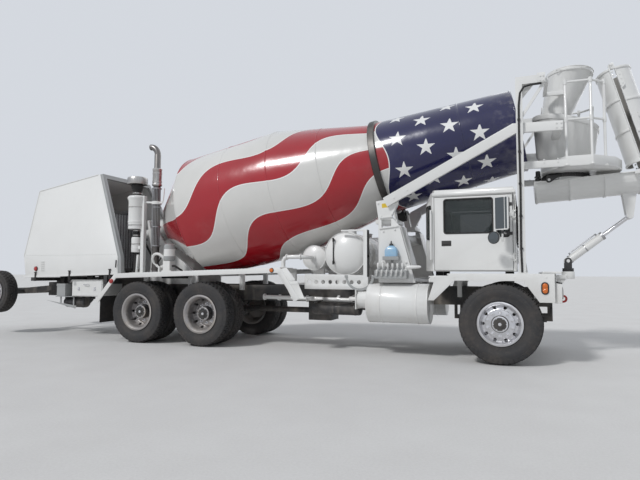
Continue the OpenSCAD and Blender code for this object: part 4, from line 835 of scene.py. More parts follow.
front_seals = Shape()
X_FOR_Y = Matrix(((0, 1, 0, 0), (1, 0, 0, 0), (0, 0, 1, 0), (0, 0, 0, 1)))  # changes X and Y over
rubber_channel(front_seals, rounded(-0.905, 1.715, 0.905, 2.355, 0.04), 0.222, 0.236, 0.02)
rubber_channel(front_seals, rounded(-0.555, 1.795, 0.555, 2.205, 0.04), -1.066, -1.052, 0.02)
bmesh.ops.transform(front_seals.bm, matrix=X_FOR_Y, verts=front_seals.bm.verts)
front_seals.make("cab_window_seals", black_rubber, slot="cab_trim", bevel=0.003)
corner_seals = Shape()
rubber_channel(corner_seals, rounded(-0.070, 1.775, 0.070, 2.255, 0.025), 0.002, 0.013, 0.016)
across_corner = Matrix(((0.530, -0.848, 0, -0.995), (0.848, 0.530, 0, 0.916), (0, 0, 1, 0), (0, 0, 0, 1)))
bmesh.ops.transform(corner_seals.bm, matrix=across_corner, verts=corner_seals.bm.verts)
corner_seals.mirrored().make("cab_corner_seals", black_rubber, slot="cab_trim", bevel=0.003)

wipers = Shape()
for y in (-0.46, 0.46):
    wipers.tube([(0.232, y, 1.70), (0.262, y, 1.70)], 0.016, 16)
    wipers.tube([(0.258, y, 1.70), (0.262, y + 0.17, 1.90), (0.255, y + 0.272, 2.06)], 0.007, 8)
    for x, width, height in ((0.250, 0.008, 0.014), (0.243, 0.010, 0.006)):
        wipers.beam((x, y + 0.252, 1.80), (x, y + 0.302, 2.30), width, height)
wipers.make("wipers", chassis_black, slot="black_steel", bevel=0.001)

louvre = Shape()
louvre.prism([(0.0, 0.0), (0.014, -0.004), (0.018, 0.012), (0.002, 0.022)], -0.30, 0.30,
             Matrix.Translation((0.229, 0, 1.42)))
repeated(louvre, "cab_heater_louvres", truck_white, ROW, count=7, step=(0, 0, 0.03))


# Engine hood
# A folded and riveted sheet steel wedge on a grey frame. Air leaves through louvres in its back, rubber
# draw latches hold it down, the radiator core stands in its open front, and red lamps sit below the back.
HOOD_HALF, ROOF_HALF = 1.06, 0.71
SHOULDER_Z, ROOF_Z = 1.57, 3.26
ROOF_SLOPE = 0.1718


def hood_half_width(z):
    """Half the hood's width: upright up to the shoulder, and leaning in above it."""
    if z < SHOULDER_Z:
        return HOOD_HALF
    return HOOD_HALF - (z - SHOULDER_Z) * (HOOD_HALF - ROOF_HALF) / (ROOF_Z - SHOULDER_Z)


slat = Shape()
slat.prism([(0.0, 0.0), (-0.022, -0.006), (-0.026, 0.026), (-0.004, 0.050)], -0.46, 0.46,
           Matrix.Translation((-9.191, 0, 1.72)) @ Matrix.Rotation(math.radians(1.6), 4, "Y"))
repeated(slat, "hood_rear_louvres", truck_white, ROW, count=15, step=(0.0018, 0, 0.062))

vent = Shape()
vent.prism([(0.0, 0.0), (0.10, 0.0), (0.085, 0.012), (0.015, 0.012)], 0.0, 0.018,
           Matrix.Translation((-8.72, -1.078, 1.30)))
repeated(vent, "hood_side_vents", truck_white, ROW, both=True, count=5, step=(0.0, 0, 0.042))

latches = Shape()
for x in (-8.85, -7.95, -6.95):
    low = 1.150 + (x + 9.13) * 0.0307
    latches.beam((x, -1.071, low - 0.05), (x, -1.071, low + 0.09), 0.035, 0.016, up=LEFT)
    latches.tube([(x - 0.03, -1.075, low + 0.10), (x + 0.03, -1.075, low + 0.10)], 0.009, 10)
    latches.box((x - 0.03, -1.072, low - 0.075), (x + 0.03, -1.062, low - 0.035))
latches.beam((-6.80, -1.085, 1.35), (-6.80, -1.075, 1.49), 0.012, 0.02)
latches.mirrored().make("hood_latches", black_rubber, slot="flap_rubber", bevel=0.003)

edge_trim = Shape()
for hand in (1, -1):
    rises = [(x, (x + 9.16) * ROOF_SLOPE) for x in (-9.15, -7.64)]
    edge_trim.tube([(x, hand * (hood_half_width(2.96 + up) + 0.002), 2.963 + up) for x, up in rises], 0.011,
                   8)
    edge_trim.tube([(-9.198, hand * 1.058, 1.58), (-9.163, hand * hood_half_width(2.955), 2.955)], 0.011, 8)
    edge_trim.beam((-9.19, hand * 1.063, 1.166), (-6.77, hand * 1.063, 1.238), 0.012, 0.034)
edge_trim.make("hood_seams", truck_white, bevel=0.002)

rivet = Shape()
rivet.turned([(0.0, 0.009), (0.004, 0.008), (0.006, 0.0)], (-9.12, -1.06, 1.60), (0, -1, 0), 8)
repeated(rivet, "hood_rivets", truck_white, ROW, both=True, count=30, step=(0.078, 0, 0))

fin = Shape()
fin.box((-7.694, -0.585, 1.315), (-7.684, 0.585, 1.320))
repeated(fin, "radiator_fins", dull_steel, ROW, slot="black_steel", count=100, step=(0, 0, 0.0122))
core = Shape()
for y in [-0.56 + 0.08 * i for i in range(15)]:
    core.box((-7.690, y - 0.006, 1.31), (-7.678, y + 0.006, 2.54))
core.box((-7.70, -0.61, 1.295), (-7.655, 0.61, 1.35))
core.box((-7.70, -0.61, 2.50), (-7.655, 0.61, 2.56))
core.make("radiator_tubes", chassis_black, slot="black_steel", bevel=0.002)

signal_red = lamp_lens("signal_red", (0.42, 0.012, 0.010))
tail, tail_rims = Shape(), Shape()
for y in (0.62, 0.78, 0.94):
    tail.turned([(0.0, 0.062), (0.016, 0.062), (0.024, 0.054), (0.027, 0.0)], (-9.205, y, 1.36), (-1, 0, 0),
                32)
    tail_rims.turned([(0.0, 0.064), (0.0, 0.075), (0.014, 0.075), (0.02, 0.068), (0.018, 0.062)],
                     (-9.200, y, 1.36), (-1, 0, 0), 32, closed=True)
tail.mirrored().make("tail_lamps", signal_red, slot="amber_lens", bevel=0)
tail_rims.box((-9.225, -0.16, 1.27), (-9.200, 0.16, 1.43))
tail_rims.mirrored().make("tail_lamp_rims", black_rubber, slot="flap_rubber", bevel=0.002)


# Air cleaner and exhaust
# A rolled steel canister with a rolled collar, a stainless rain cap on a rubber neck, and clamp bands,
# beside the stack, with a clamp under its bent mouth and a guard of rods round its lower half.
stainless = polished_steel("stainless", (0.50, 0.49, 0.475), 0.26)
AIR, STACK = (-6.56, -0.82, 0), (-6.15, -0.76, 0)
canister = Shape()
canister.turned([(2.08, 0.0), (2.08, 0.147), (2.088, 0.155), (2.20, 0.155), (2.205, 0.160), (2.235, 0.160),
                 (2.24, 0.155), (2.62, 0.155), (2.655, 0.172), (2.672, 0.176), (2.688, 0.176), (2.70, 0.168),
                 (2.715, 0.150), (2.73, 0.100), (2.735, 0.0)], AIR, UP, 56)
canister.turned([(1.64, 0.0), (1.64, 0.080), (1.65, 0.09), (1.70, 0.09), (1.703, 0.094), (1.722, 0.094),
                 (1.725, 0.09), (1.90, 0.09), (1.93, 0.082), (1.94, 0.0)], AIR, UP, 40)
x, y = AIR[:2]
canister.box((x + 0.13, y - 0.04, 1.257), (x + 0.20, y + 0.04, 2.713))
for z in (1.70, 2.30, 2.60):
    canister.box((x + 0.06, y - 0.04, z), (x + 0.14, y + 0.04, z + 0.06))
canister.prism([(-6.62, 1.245), (-6.32, 1.2545), (-6.32, 1.2665), (-6.62, 1.257)], -0.92, -0.72)
canister.beam((x + 0.02, y - 0.01, 1.262), (x + 0.05, y, 1.60), 0.06, 0.05, up=LEFT)
canister.make("air_canister", truck_white, bevel=0.003, replaces=["air_cleaner"])
rain_cap = Shape()
rain_cap.turned([(2.955, 0.062), (2.958, 0.10), (2.945, 0.176), (2.942, 0.185), (2.948, 0.187),
                 (3.062, 0.187), (3.072, 0.180), (3.088, 0.12), (3.094, 0.0)], AIR, UP, 56)
rain_cap.make("air_rain_cap", stainless, slot="bright_steel", bevel=0.0, smooth=40)
neck = Shape()
neck.turned([(2.728, 0.075), (2.75, 0.085), (2.79, 0.085), (2.80, 0.078), (2.86, 0.105), (2.93, 0.115),
             (2.956, 0.09)], AIR, UP, 40)
neck.turned([(1.935, 0.055), (2.085, 0.06)], AIR, UP, 32)
neck.turned([(1.25, 0.045), (1.645, 0.045)], AIR, UP, 24)
neck.make("air_hoses", black_rubber, slot="flap_rubber", bevel=0.0)
bands = Shape()
for z, r in ((2.155, 0.1575), (2.50, 0.1575), (2.768, 0.088), (1.965, 0.060), (2.055, 0.063), (1.80, 0.092)):
    bands.band(z - 0.010, z + 0.010, r - 0.003, r + 0.002, AIR, UP, 56)
    bands.tube([(x - 0.02, y - r - 0.006, z), (x + 0.02, y - r - 0.006, z)], 0.006, 8)
bands.make("air_clamps", stainless, slot="bright_steel", bevel=0.0)
slot_plate = Shape()
slot_plate.box((-0.004, -0.1885, 2.965), (0.004, -0.1865, 3.045))
repeated(slot_plate, "air_cap_louvres", dull_steel, RING, slot="bright_steel", count=36, arc=2 * math.pi,
         axis=UP, centre=AIR)

stack = Shape()
stack.turned([(2.90, 0.0), (2.90, 0.086), (2.915, 0.092), (2.93, 0.092), (2.945, 0.085), (3.19, 0.085),
              (3.20, 0.090), (3.222, 0.090), (3.235, 0.08), (3.24, 0.0)], STACK, UP, 48)
for z in (2.98, 3.14):
    stack.band(z - 0.012, z + 0.012, 0.083, 0.089, STACK, UP, 48)
stack.make("exhaust_clamp", stainless, slot="bright_steel", bevel=0.0)
guard = Shape()
for a in range(9):
    turn = math.radians(200 + a * 20)
    x, y = STACK[0] + 0.083 * math.cos(turn), STACK[1] + 0.083 * math.sin(turn)
    guard.tube([(x, y, 1.75), (x, y, 2.86)], 0.005, 6)
for z in (1.76, 2.12, 2.49, 2.85):
    guard.band(z - 0.008, z + 0.008, 0.078, 0.089, STACK, UP, 40)
guard.make("exhaust_guard", dull_steel, slot="bright_steel", bevel=0.0)


# Fittings under and on the hood
# A dark beacon dome, red markers in the hood's flanks, and white tool boxes with hung lids below it,
# beside a grey battery box on a shelf. Black air reservoirs hang from the frame there and under the deck.
smoked_lens = lamp_lens("smoked_lens", (0.022, 0.020, 0.022))
beacon = Shape()
beacon.turned([(0.0, 0.070), (0.012, 0.070), (0.016, 0.063), (0.060, 0.063), (0.084, 0.048), (0.100, 0.022),
               (0.103, 0.0)], (-9.060, 0, 2.9785), (-0.1693, 0, 0.9856), 40)
beacon.make("hood_beacon", smoked_lens, slot="cab_trim", bevel=0)
markers = Shape()
for x, y, z in ((-8.85, 1.0600, 1.33), (-6.765, 1.2170, 1.100)):
    markers.turned([(0.0, 0.0415), (0.0185, 0.0415), (0.0235, 0.034), (0.0255, 0.0)], (x, y, z), LEFT, 32)
markers.mirrored().make("red_markers", signal_red, slot="amber_lens", bevel=0)
boxes = Shape()
boxes.box((-7.985, 0.425, 0.792), (-7.215, 0.957, 1.108))
boxes.box((-7.970, 0.955, 0.806), (-7.230, 0.967, 1.094))
boxes.box((-7.995, 0.600, 1.105), (-7.205, 0.975, 1.118))
boxes.mirrored().make("tool_boxes", truck_white, bevel=0.006)
box_fittings = Shape()
for x in (-7.80, -7.40):
    box_fittings.box((x - 0.022, 0.966, 0.905), (x + 0.022, 0.974, 0.975))
    box_fittings.tube([(x - 0.014, 0.982, 0.925), (x + 0.014, 0.982, 0.925)], 0.009, 10)
box_fittings.tube([(-7.66, 0.966, 1.02), (-7.66, 0.995, 1.02), (-7.54, 0.995, 1.02), (-7.54, 0.966, 1.02)],
                  0.007, 10)
box_fittings.mirrored().make("tool_box_latches", bright_steel, slot="bright_steel", bevel=0.001)
shelf = Shape()
shelf.box((-8.42, 0.585, 0.775), (-7.98, 0.955, 0.787))
shelf.box((-8.40, 0.610, 0.787), (-8.18, 0.945, 1.030))
shelf.box((-8.405, 0.605, 0.985), (-8.175, 0.950, 1.035))
shelf.prism([(-8.75, 0.700), (-7.93, 0.600), (-7.96, 0.545)], 0.884, 0.892)
for x, z in ((-8.36, 0.640), (-8.02, 0.580)):
    shelf.box((x, 0.880, z), (x + 0.03, 0.896, 0.780))
shelf.mirrored().make("battery_boxes", frame_grey, slot="grey_paint", bevel=0.004)
reservoirs = Shape()
for low, x0, x1, y in ((0.665, -8.31, -7.79, 0.760), (0.672, -2.98, -2.16, 0.62)):
    reservoirs.turned([(x0 - 0.025, 0.0), (x0 - 0.018, 0.05), (x0, 0.092), (x0 + 0.03, 0.102),
                       (x1 - 0.03, 0.102), (x1, 0.092), (x1 + 0.018, 0.05), (x1 + 0.025, 0.0)], (0, y, low),
                      FORWARD, 32)
    for x in (x0 + 0.09, x1 - 0.09):
        reservoirs.band(x - 0.014, x + 0.014, 0.1015, 0.106, (0, y, low), FORWARD, 32)
        reservoirs.box((x - 0.014, y - 0.010, low + 0.100), (x + 0.014, y + 0.010, low + 0.130))
for x in (-2.89, -2.25):
    reservoirs.box((x - 0.03, 0.420, 0.790), (x + 0.03, 0.700, 0.802))
    reservoirs.box((x - 0.03, 0.425, 0.796), (x + 0.03, 0.437, 0.860))
reservoirs.mirrored().make("air_reservoirs", chassis_black, slot="black_steel", bevel=0.002)


# Stack, filters and drum drive
# A heat-darkened sleeve round the worn chromed stack, its stays, a grey spin-on filter with a blank band
# and a coil of white pipe on the deck, the hoses beside them, and the ribbed gearbox with its motor.
burnt_steel = polished_steel("burnt_steel", (0.13, 0.12, 0.115), 0.42)
worn_chrome = polished_steel("worn_chrome", (0.20, 0.19, 0.185), 0.24, 0.2)
for _ in range(2):  # rounded twice over, its pipe catches a broader light
    dress("exhaust_stack", worn_chrome, 0.002)
sleeve = Shape()
sleeve.band(1.30, 2.895, 0.0625, 0.0665, STACK, UP, 40)
for z in (1.31, 1.74):
    sleeve.band(z, z + 0.03, 0.064, 0.074, STACK, UP, 40)
sleeve.make("exhaust_sleeve", burnt_steel, slot="bright_steel", bevel=0.0)
stays = Shape()
stays.tube([(-6.41, -0.815, 2.59), (-6.33, -0.80, 2.59), (-6.14, -0.79, 2.575)], 0.020, 14)
stays.box((-6.42, -0.850, 2.555), (-6.395, -0.780, 2.625))
stays.band(2.545, 2.605, 0.086, 0.092, STACK, UP, 40)
stays.tube([(-5.99, -0.80, 2.56), (-5.96, -0.81, 2.62), (-5.94, -0.81, 2.84)], 0.011, 10)
stays.beam((-6.07, -0.78, 2.575), (-5.985, -0.80, 2.575), 0.02, 0.03)
stays.make("exhaust_stays", truck_white, bevel=0.002)

FILTER = (-5.795, -0.815, 0)
filters = Shape()
filters.turned([(1.470, 0.0), (1.470, 0.080), (1.480, 0.095), (1.500, 0.100), (1.745, 0.100), (1.775, 0.093),
                (1.792, 0.06), (1.796, 0.0)], FILTER, UP, 40)
filters.band(1.497, 1.512, 0.099, 0.104, FILTER, UP, 40)
filters.make("hydraulic_filter", frame_grey, slot="grey_paint", bevel=0.0)
filter_base = Shape()
filter_base.prism([(-5.90, 1.266), (-5.69, 1.272), (-5.69, 1.30), (-5.72, 1.30), (-5.72, 1.472),
                   (-5.87, 1.472), (-5.87, 1.30), (-5.90, 1.30)], -0.90, -0.745)
filter_base.band(1.560, 1.690, 0.1005, 0.1015, FILTER, UP, 40)
COIL, COIL_RADIUS = Vector((-6.02, -0.83, 1.485)), 0.135
coil = [(COIL.x + COIL_RADIUS * math.cos(a) * 0.97, COIL.y - COIL_RADIUS * math.sin(a) * 0.42,
         COIL.z + COIL_RADIUS * math.sin(a) * 0.90) for a in (math.radians(k * 10) for k in range(36))]
rings = []
for k, point in enumerate(map(Vector, coil)):
    ahead = (Vector(coil[(k + 1) % 36]) - Vector(coil[k - 1])).normalized()
    out = (point - COIL).normalized()
    over = ahead.cross(out)
    rings.append([filter_base.bm.verts.new(point + (out * math.cos(b) + over * math.sin(b)) * 0.026)
                  for b in (2 * math.pi * j / 10 for j in range(10))])
filter_base.loft(rings + rings[:1], caps=False)
filter_base.beam((-6.02, -0.78, 1.258), (-6.02, -0.775, 1.375), 0.10, 0.03, up=FORWARD)
filter_base.make("deck_fittings", truck_white, bevel=0.002)
deck_hoses = Shape()
deck_hoses.tube([(-5.795, -0.745, 1.39), (-5.795, -0.70, 1.39), (-5.84, -0.66, 1.38), (-5.95, -0.64, 1.33),
                 (-5.98, -0.62, 1.20)], 0.019, 10)
deck_hoses.tube([(-5.72, -0.82, 1.38), (-5.66, -0.82, 1.38), (-5.62, -0.80, 1.35), (-5.60, -0.70, 1.30),
                 (-5.60, -0.60, 1.20)], 0.019, 10)
deck_hoses.tube([(-6.02, -0.80, 1.375), (-6.09, -0.77, 1.44), (-6.02, -0.74, 1.56), (-5.93, -0.72, 1.47),
                 (-5.95, -0.68, 1.33), (-6.02, -0.64, 1.20)], 0.014, 10)
for y in (-0.07, 0.07):
    deck_hoses.tube([(-7.10, y, 1.955), (-7.10, y * 1.4, 1.86), (-7.04, y * 2, 1.72), (-6.90, y * 2.4, 1.45),
                     (-6.84, y * 2.5, 1.06)], 0.022, 10)
deck_hoses.box((-6.90, -0.30, 1.035), (-6.78, 0.30, 1.10))
deck_hoses.box((-6.05, -0.70, 1.15), (-5.55, -0.56, 1.215))
deck_hoses.make("hydraulic_hoses", black_rubber, slot="flap_rubber", bevel=0.0)

drive = Shape()
for k in range(8):
    s = -2.870 + k * 0.034
    drive.band(s, s + 0.011, 0.148, 0.176, DRUM_POINT, DRUM_AXIS, 48)
for s in (-2.60, -2.46):
    drive.band(s, s + 0.022, 0.198, 0.213, DRUM_POINT, DRUM_AXIS, 48)
drive.make("gearbox_ribs", truck_white, bevel=0.0)
motor = Shape()
motor.turned([(-3.245, 0.0), (-3.245, 0.050), (-3.230, 0.066), (-3.130, 0.066), (-3.125, 0.092),
              (-3.069, 0.092), (-3.069, 0.0)], DRUM_POINT, DRUM_AXIS, 32)
motor.box((-7.16, -0.10, 1.93), (-7.05, 0.10, 2.06))
motor.make("drum_motor", chassis_black, slot="black_steel", bevel=0.0)
across = Vector((-math.sin(DRUM_TILT), 0, math.cos(DRUM_TILT)))
for name, s, radius, count, size, body, profile in (
        ("gearbox_bolts", -2.600, 0.186, 12, 0.012, "chassis", "back"),
        ("drum_flange_bolts", -2.430, 0.214, 16, 0.012, "drum", "back"),
        ("drum_mouth_bolts", 4.380, 0.636, 24, 0.009, "drum", "front")):
    bolt = Shape()
    if profile == "back":
        bolt.turned([(0.0, size), (0.010, size), (0.012, size * 0.7), (0.012, 0.0)], across * radius,
                    -DRUM_AXIS, 6)
    else:
        bolt.turned([(-0.012, size), (0.0, size), (0.002, 0.0)], across * radius, DRUM_AXIS, 6)
    repeated(bolt, name, dull_steel, RING, body, "black_steel", count=count, arc=2 * math.pi,
             axis=tuple(DRUM_AXIS), centre=tuple(DRUM_POINT + DRUM_AXIS * s))


# Drum's mixing blades
# Two spiral fins of plate are welded inside the drum and seen through its mouth, with set concrete on
# their faces.
set_concrete = sprayed_steel("set_concrete", (0.36, 0.35, 0.33), 0.85, 0.0, 0.3, chips=0.0)
BLADE_START, BLADE_END, BLADE_TWIST = 1.10, 4.30, 3.0
blades = Shape()
for start in (0.0, math.pi):
    rings = []
    for k in range(49):
        s = BLADE_START + k * (BLADE_END - BLADE_START) / 48
        skin = 0.977 - (s - 1.24) * 0.224 if s < 2.065 else 0.790 - (s - 2.065) * 0.0605
        wall = skin - DRUM_WALL - 0.004
        turn = start + (s - BLADE_START) * BLADE_TWIST
        spoke = across * math.cos(turn) + Vector(LEFT) * math.sin(turn)
        depth = 0.05 + 0.21 * min(1.0, k / 8, (48 - k) / 6 + 0.2)
        middle = DRUM_POINT + DRUM_AXIS * s
        section = (wall, -0.004), (wall - depth, -0.004), (wall - depth, 0.004), (wall, 0.004)
        rings.append([blades.bm.verts.new(middle + spoke * r + DRUM_AXIS * a) for r, a in section])
    blades.loft(rings)
blades.make("drum_blades", set_concrete, "drum", "red_paint", 0.0)


# Tank fittings, roller tower and valve levers
# Welded flanges, a filler with a hinged cap, a sight tube and a fill pipe on the water tanks; on the tower
# a washing jug on its tray, a blank yellow label, and the driver's levers, white over bright rods.
LARGE_TANK, SMALL_TANK = (-2.35, 0, 1.57), (-2.98, 0, 1.515)
tank_fittings = Shape()
for hand in (-1, 1):
    tank_fittings.band(hand * 0.852 - 0.010, hand * 0.852 + 0.010, 0.338, 0.347, LARGE_TANK, LEFT, 64)
for hand in (-1, 1):
    tank_fittings.band(hand * 0.622 - 0.008, hand * 0.622 + 0.008, 0.203, 0.211, SMALL_TANK, LEFT, 48)
tank_fittings.turned([(1.895, 0.075), (1.965, 0.075), (1.965, 0.088), (1.975, 0.088), (1.985, 0.07),
                      (1.990, 0.0)], (-2.35, -0.48, 0), UP, 32)
tank_fittings.tube([(-3.375, -1.0, 1.340), (-3.375, -1.0, 1.455), (-3.35, -1.0, 1.500), (-3.30, -1.0, 1.520),
                    (-3.10, -0.985, 1.522), (-3.03, -0.955, 1.520), (-2.99, -0.895, 1.517),
                    (-2.98, -0.82, 1.515), (-2.98, -0.672, 1.515)], 0.034, 16)
for place, axis in (((-3.375, -1.0, 1.338), UP), ((-3.32, -1.0, 1.5205), FORWARD),
                    ((-3.08, -0.98, 1.5215), FORWARD), ((-2.98, -0.71, 1.515), LEFT)):
    tank_fittings.band(0.0, 0.016, 0.034, 0.050, place, axis, 24)
tank_fittings.mirrored().make("tank_fittings", truck_white, bevel=0.001)
sight = Shape()
for z in (1.425, 1.790):
    sight.tube([(-2.52, -0.885, z), (-2.52, -0.955, z)], 0.014, 12)
    sight.tube([(-2.52, -0.945, z - 0.03), (-2.52, -0.945, z + 0.03)], 0.016, 12)
sight.tube([(-2.52, -0.945, 1.43), (-2.52, -0.945, 1.785)], 0.0095, 12)
sight.box((-1.949, -0.973, 1.20), (-1.918, -0.958, 1.93))
sight.box((-1.960, -0.973, 1.50), (-1.918, -0.969, 1.54))
sight.make("tank_sight_tube", black_rubber, slot="flap_rubber", bevel=0.001)
cradle = Shape()
under = [math.radians(10 * k) for k in range(19)]
cradle.prism([(-2.07 + 0.235 * math.cos(a), 1.215 - 0.235 * math.sin(a)) for a in under]
             + [(-2.07 + 0.195 * math.cos(a), 1.215 - 0.195 * math.sin(a)) for a in under[::-1]], -0.9855,
             -0.972)
for x in (-2.315, -1.88):
    cradle.box((x, -0.990, 1.190), (x + 0.055, -0.972, 1.225))
cradle.mirrored().make("tank_cradles", frame_grey, slot="grey_paint", bevel=0.002)

yellow_label = sprayed_steel("yellow_label", (0.72, 0.50, 0.03), 0.45, 0.1, 0.25, chips=0.1)
label = Shape()
label.prism([(-1.70, 2.262), (-1.60, 2.270), (-1.605, 2.335), (-1.705, 2.327)], 1.0002, 1.0016)
label.mirrored().make("blank_labels", yellow_label, bevel=0)
tower = Shape()
for x, z in ((-1.76, 2.335), (-1.49, 2.365), (-1.72, 2.13), (-1.54, 2.165), (-1.68, 1.90), (-1.50, 1.92),
             (-1.70, 1.42), (-1.33, 1.42)):
    tower.turned([(0.0, 0.017), (0.008, 0.017), (0.010, 0.012), (0.018, 0.012), (0.018, 0.0)], (x, 1.0, z),
                 LEFT, 6)
tower.prism([(-1.74, 1.935), (-1.45, 1.965), (-1.45, 1.985), (-1.74, 1.955)], 0.999, 1.020)
tower.prism([(-1.735, 2.100), (-1.535, 2.115), (-1.545, 2.130), (-1.735, 2.118)], 0.999, 1.022)
tower.mirrored().make("tower_bolts", truck_white, bevel=0.001)


def thin_plastic(name, colour):
    """Blow-moulded plastic, hazy and a little scuffed."""
    paint = Paint(name)
    haze = paint.noise(9.0, 4).fade(0.35, 0.75)
    return paint.finish(paint.mix(haze * 0.5, colour, tuple(0.5 * c + 0.25 for c in colour)),
                        haze * 0.2 + 0.25, paint.bump(paint.noise(14.0, 2), 0.002), coat=0.2)


jug_blue = thin_plastic("jug_blue", (0.27, 0.47, 0.66))
jug = Shape()
rings = []
for z, x0, x1, y0, y1 in ((1.470, -1.628, -1.462, -1.096, -1.010), (1.474, -1.640, -1.450, -1.106, -1.004),
                          (1.600, -1.641, -1.449, -1.107, -1.003), (1.640, -1.622, -1.464, -1.098, -1.010),
                          (1.668, -1.590, -1.500, -1.082, -1.026), (1.676, -1.572, -1.520, -1.076, -1.032)):
    corner = min(0.022, (y1 - y0) * 0.4)
    rings.append([jug.bm.verts.new((x, y, z)) for x, y in rounded(x0, y0, x1, y1, corner, 4)])
jug.loft(rings)
jug.make("washing_jug", jug_blue, bevel=0.0, smooth=60)
jug_cap = Shape()
jug_cap.turned([(1.676, 0.030), (1.700, 0.030), (1.704, 0.024), (1.706, 0.012), (1.732, 0.010),
                (1.748, 0.006), (1.749, 0.0)], (-1.546, -1.054, 0), UP, 24)
jug_cap.make("washing_jug_cap", cab_trim, slot="cab_trim", bevel=0.0)
tray = Shape()
tray.box((-1.665, -1.125, 1.455), (-1.425, -0.998, 1.4695))
tray.box((-1.665, -1.127, 1.4695), (-1.425, -1.121, 1.510))
for x in (-1.665, -1.431):
    tray.box((x, -1.125, 1.4695), (x + 0.006, -0.999, 1.51))
tray.box((-1.56, -1.012, 1.37), (-1.53, -0.998, 1.456))
tray.make("jug_tray", frame_grey, slot="grey_paint", bevel=0.001)
LEVERS_X = [-1.75 + 0.075 * i for i in range(6)]
levers = Shape()
for x in LEVERS_X:
    levers.turned([(1.335, 0.0125), (1.345, 0.018), (1.400, 0.021), (1.415, 0.016), (1.419, 0.0)],
                  (x, -1.06, 0), UP, 16)
    levers.tube([(x, -1.149, 1.215), (x, -1.168, 1.222), (x + 0.01, -1.185, 1.262)], 0.008, 10)
    levers.turned([(0.0, 0.008), (0.012, 0.014), (0.050, 0.016), (0.060, 0.0)], (x + 0.01, -1.185, 1.255),
                  (0.1, -0.12, 1), 14)
levers.tube([(-1.315, -1.115, 1.300), (-1.312, -1.118, 1.338), (-1.285, -1.122, 1.344),
             (-1.10, -1.135, 1.352), (-1.085, -1.136, 1.353)], [0.012, 0.014, 0.034, 0.020, 0.012], 16)
levers.box((-1.345, -1.14, 1.299), (-1.285, -1.09, 1.312))
levers.make("valve_levers", truck_white, bevel=0.0)
valve_body = Shape()
valve_body.box((-1.785, -1.153, 1.176), (-1.295, -1.000, 1.304))
for x in LEVERS_X:
    valve_body.turned([(1.302, 0.026), (1.318, 0.024), (1.330, 0.014)], (x, -1.06, 0), UP, 16)
valve_body.make("valve_body", frame_grey, slot="grey_paint", bevel=0.004)


# Deck, steps and side lamps
# Round grip buttons pressed up from the deck and the steps, rubber bases under the side lamps, and a black
# bezel round the pair of amber lenses on each front fender.
for k in range(5):
    stud, odd = Shape(), k % 2
    stud.turned([(0.0, 0.011), (0.003, 0.009), (0.0035, 0.0)],
                (-6.62 + 0.03 * odd, -0.80 - 0.085 * k, 1.2444 + 0.00094 * odd), (-0.031, 0, 1), 8)
    repeated(stud, f"deck_studs_{k}", truck_white, ROW, both=True, count=54, step=(0.0605, 0, 0.00189))
treads = Shape()
for low, x0 in ((1.100, -3.29), (0.870, -3.143)):
    for i in range(6):
        for j in range(5):
            treads.turned([(-0.001, 0.013), (0.004, 0.010), (0.0045, 0.0)],
                          (x0 + 0.03 + i * 0.042, 0.94 + j * 0.058, low), UP, 8)
treads.mirrored().make("step_studs", truck_white, bevel=0)
bases = Shape()
bases.turned([(-0.002, 0.030), (-0.002, 0.040), (0.008, 0.038), (0.010, 0.0305)], (-3.48, 1.220, 1.30), LEFT,
             28, closed=True)
bases.turned([(0.0, 0.041), (0.0, 0.050), (0.008, 0.048), (0.010, 0.041)], (-8.85, 1.060, 1.33), LEFT, 28,
             closed=True)
bezel = [(0.58 + 0.048 * math.cos(a), 1.06 + (0.035 if math.sin(a) > 0 else -0.035) + 0.048 * math.sin(a))
         for a in (math.radians(10 * k + 5) for k in range(36))]
bases.prism(bezel, 1.2195, 1.2305)
bases.mirrored().make("lamp_bases", black_rubber, slot="flap_rubber", bevel=0.001)
lenses = Shape()
for z in (1.025, 1.095):
    lenses.turned([(0.0175, 0.031), (0.0195, 0.031), (0.0245, 0.022), (0.026, 0.0)], (0.58, 1.220, z), LEFT,
                  28)
lenses.turned([(0.0175, 0.029), (0.0195, 0.029), (0.0235, 0.020), (0.0245, 0.0)], (-3.48, 1.220, 1.30), LEFT,
              28)
lenses.mirrored().make("side_lenses", amber_lens, slot="amber_lens", bevel=0)


# Tow hooks and front end
# Forged hooks painted signal red, bolts along the bumper and a rubber strip on its top edge, headlamps in
# bright bezels, gussets that carry the chute ram's swivel bracket, and bolts along the fenders' seams.
hook_red = sprayed_steel("hook_red", (0.42, 0.025, 0.02), 0.4, 0.2, 0.3)
hooks = Shape()
hooks.turned([(-0.0157, 0.0272), (-0.0157, 0.052), (-0.012, 0.0558), (0.012, 0.0558), (0.0157, 0.052),
              (0.0157, 0.0272)], (0.835, 0.585, 0.900), LEFT, 40, closed=True)
hooks.box((0.7895, 0.5688, 0.868), (0.812, 0.6012, 0.932))
hooks.mirrored().make("tow_hook_paint", hook_red, slot="red_paint", bevel=0)
bumper = Shape()
for y in (0.12, 0.36, 0.72, 1.02):
    for z in (0.90, 1.08):
        bumper.turned([(0.0, 0.016), (0.007, 0.016), (0.010, 0.0)], (0.790, y, z), FORWARD, 20)
bumper.box((0.775, 0.02, 1.118), (0.794, 1.155, 1.134))
bumper.mirrored().make("bumper_bolts", black_rubber, slot="flap_rubber", bevel=0.001)
clear_lens = lamp_lens("clear_lens", (0.60, 0.61, 0.62))
bezels, headlamps = Shape(), Shape()
for y in (0.79, 0.95):
    bezels.turned([(0.0, 0.084), (0.020, 0.082), (0.025, 0.074), (0.012, 0.066)], (0.790, y, 0.990), FORWARD,
                  36)
    headlamps.turned([(0.012, 0.067), (0.019, 0.060), (0.024, 0.035), (0.026, 0.0)], (0.790, y, 0.990),
                     FORWARD, 36)
bezels.mirrored().make("headlamp_bezels", stainless, slot="bright_steel", bevel=0)
headlamps.mirrored().make("headlamps", clear_lens, slot="window_glass", bevel=0)
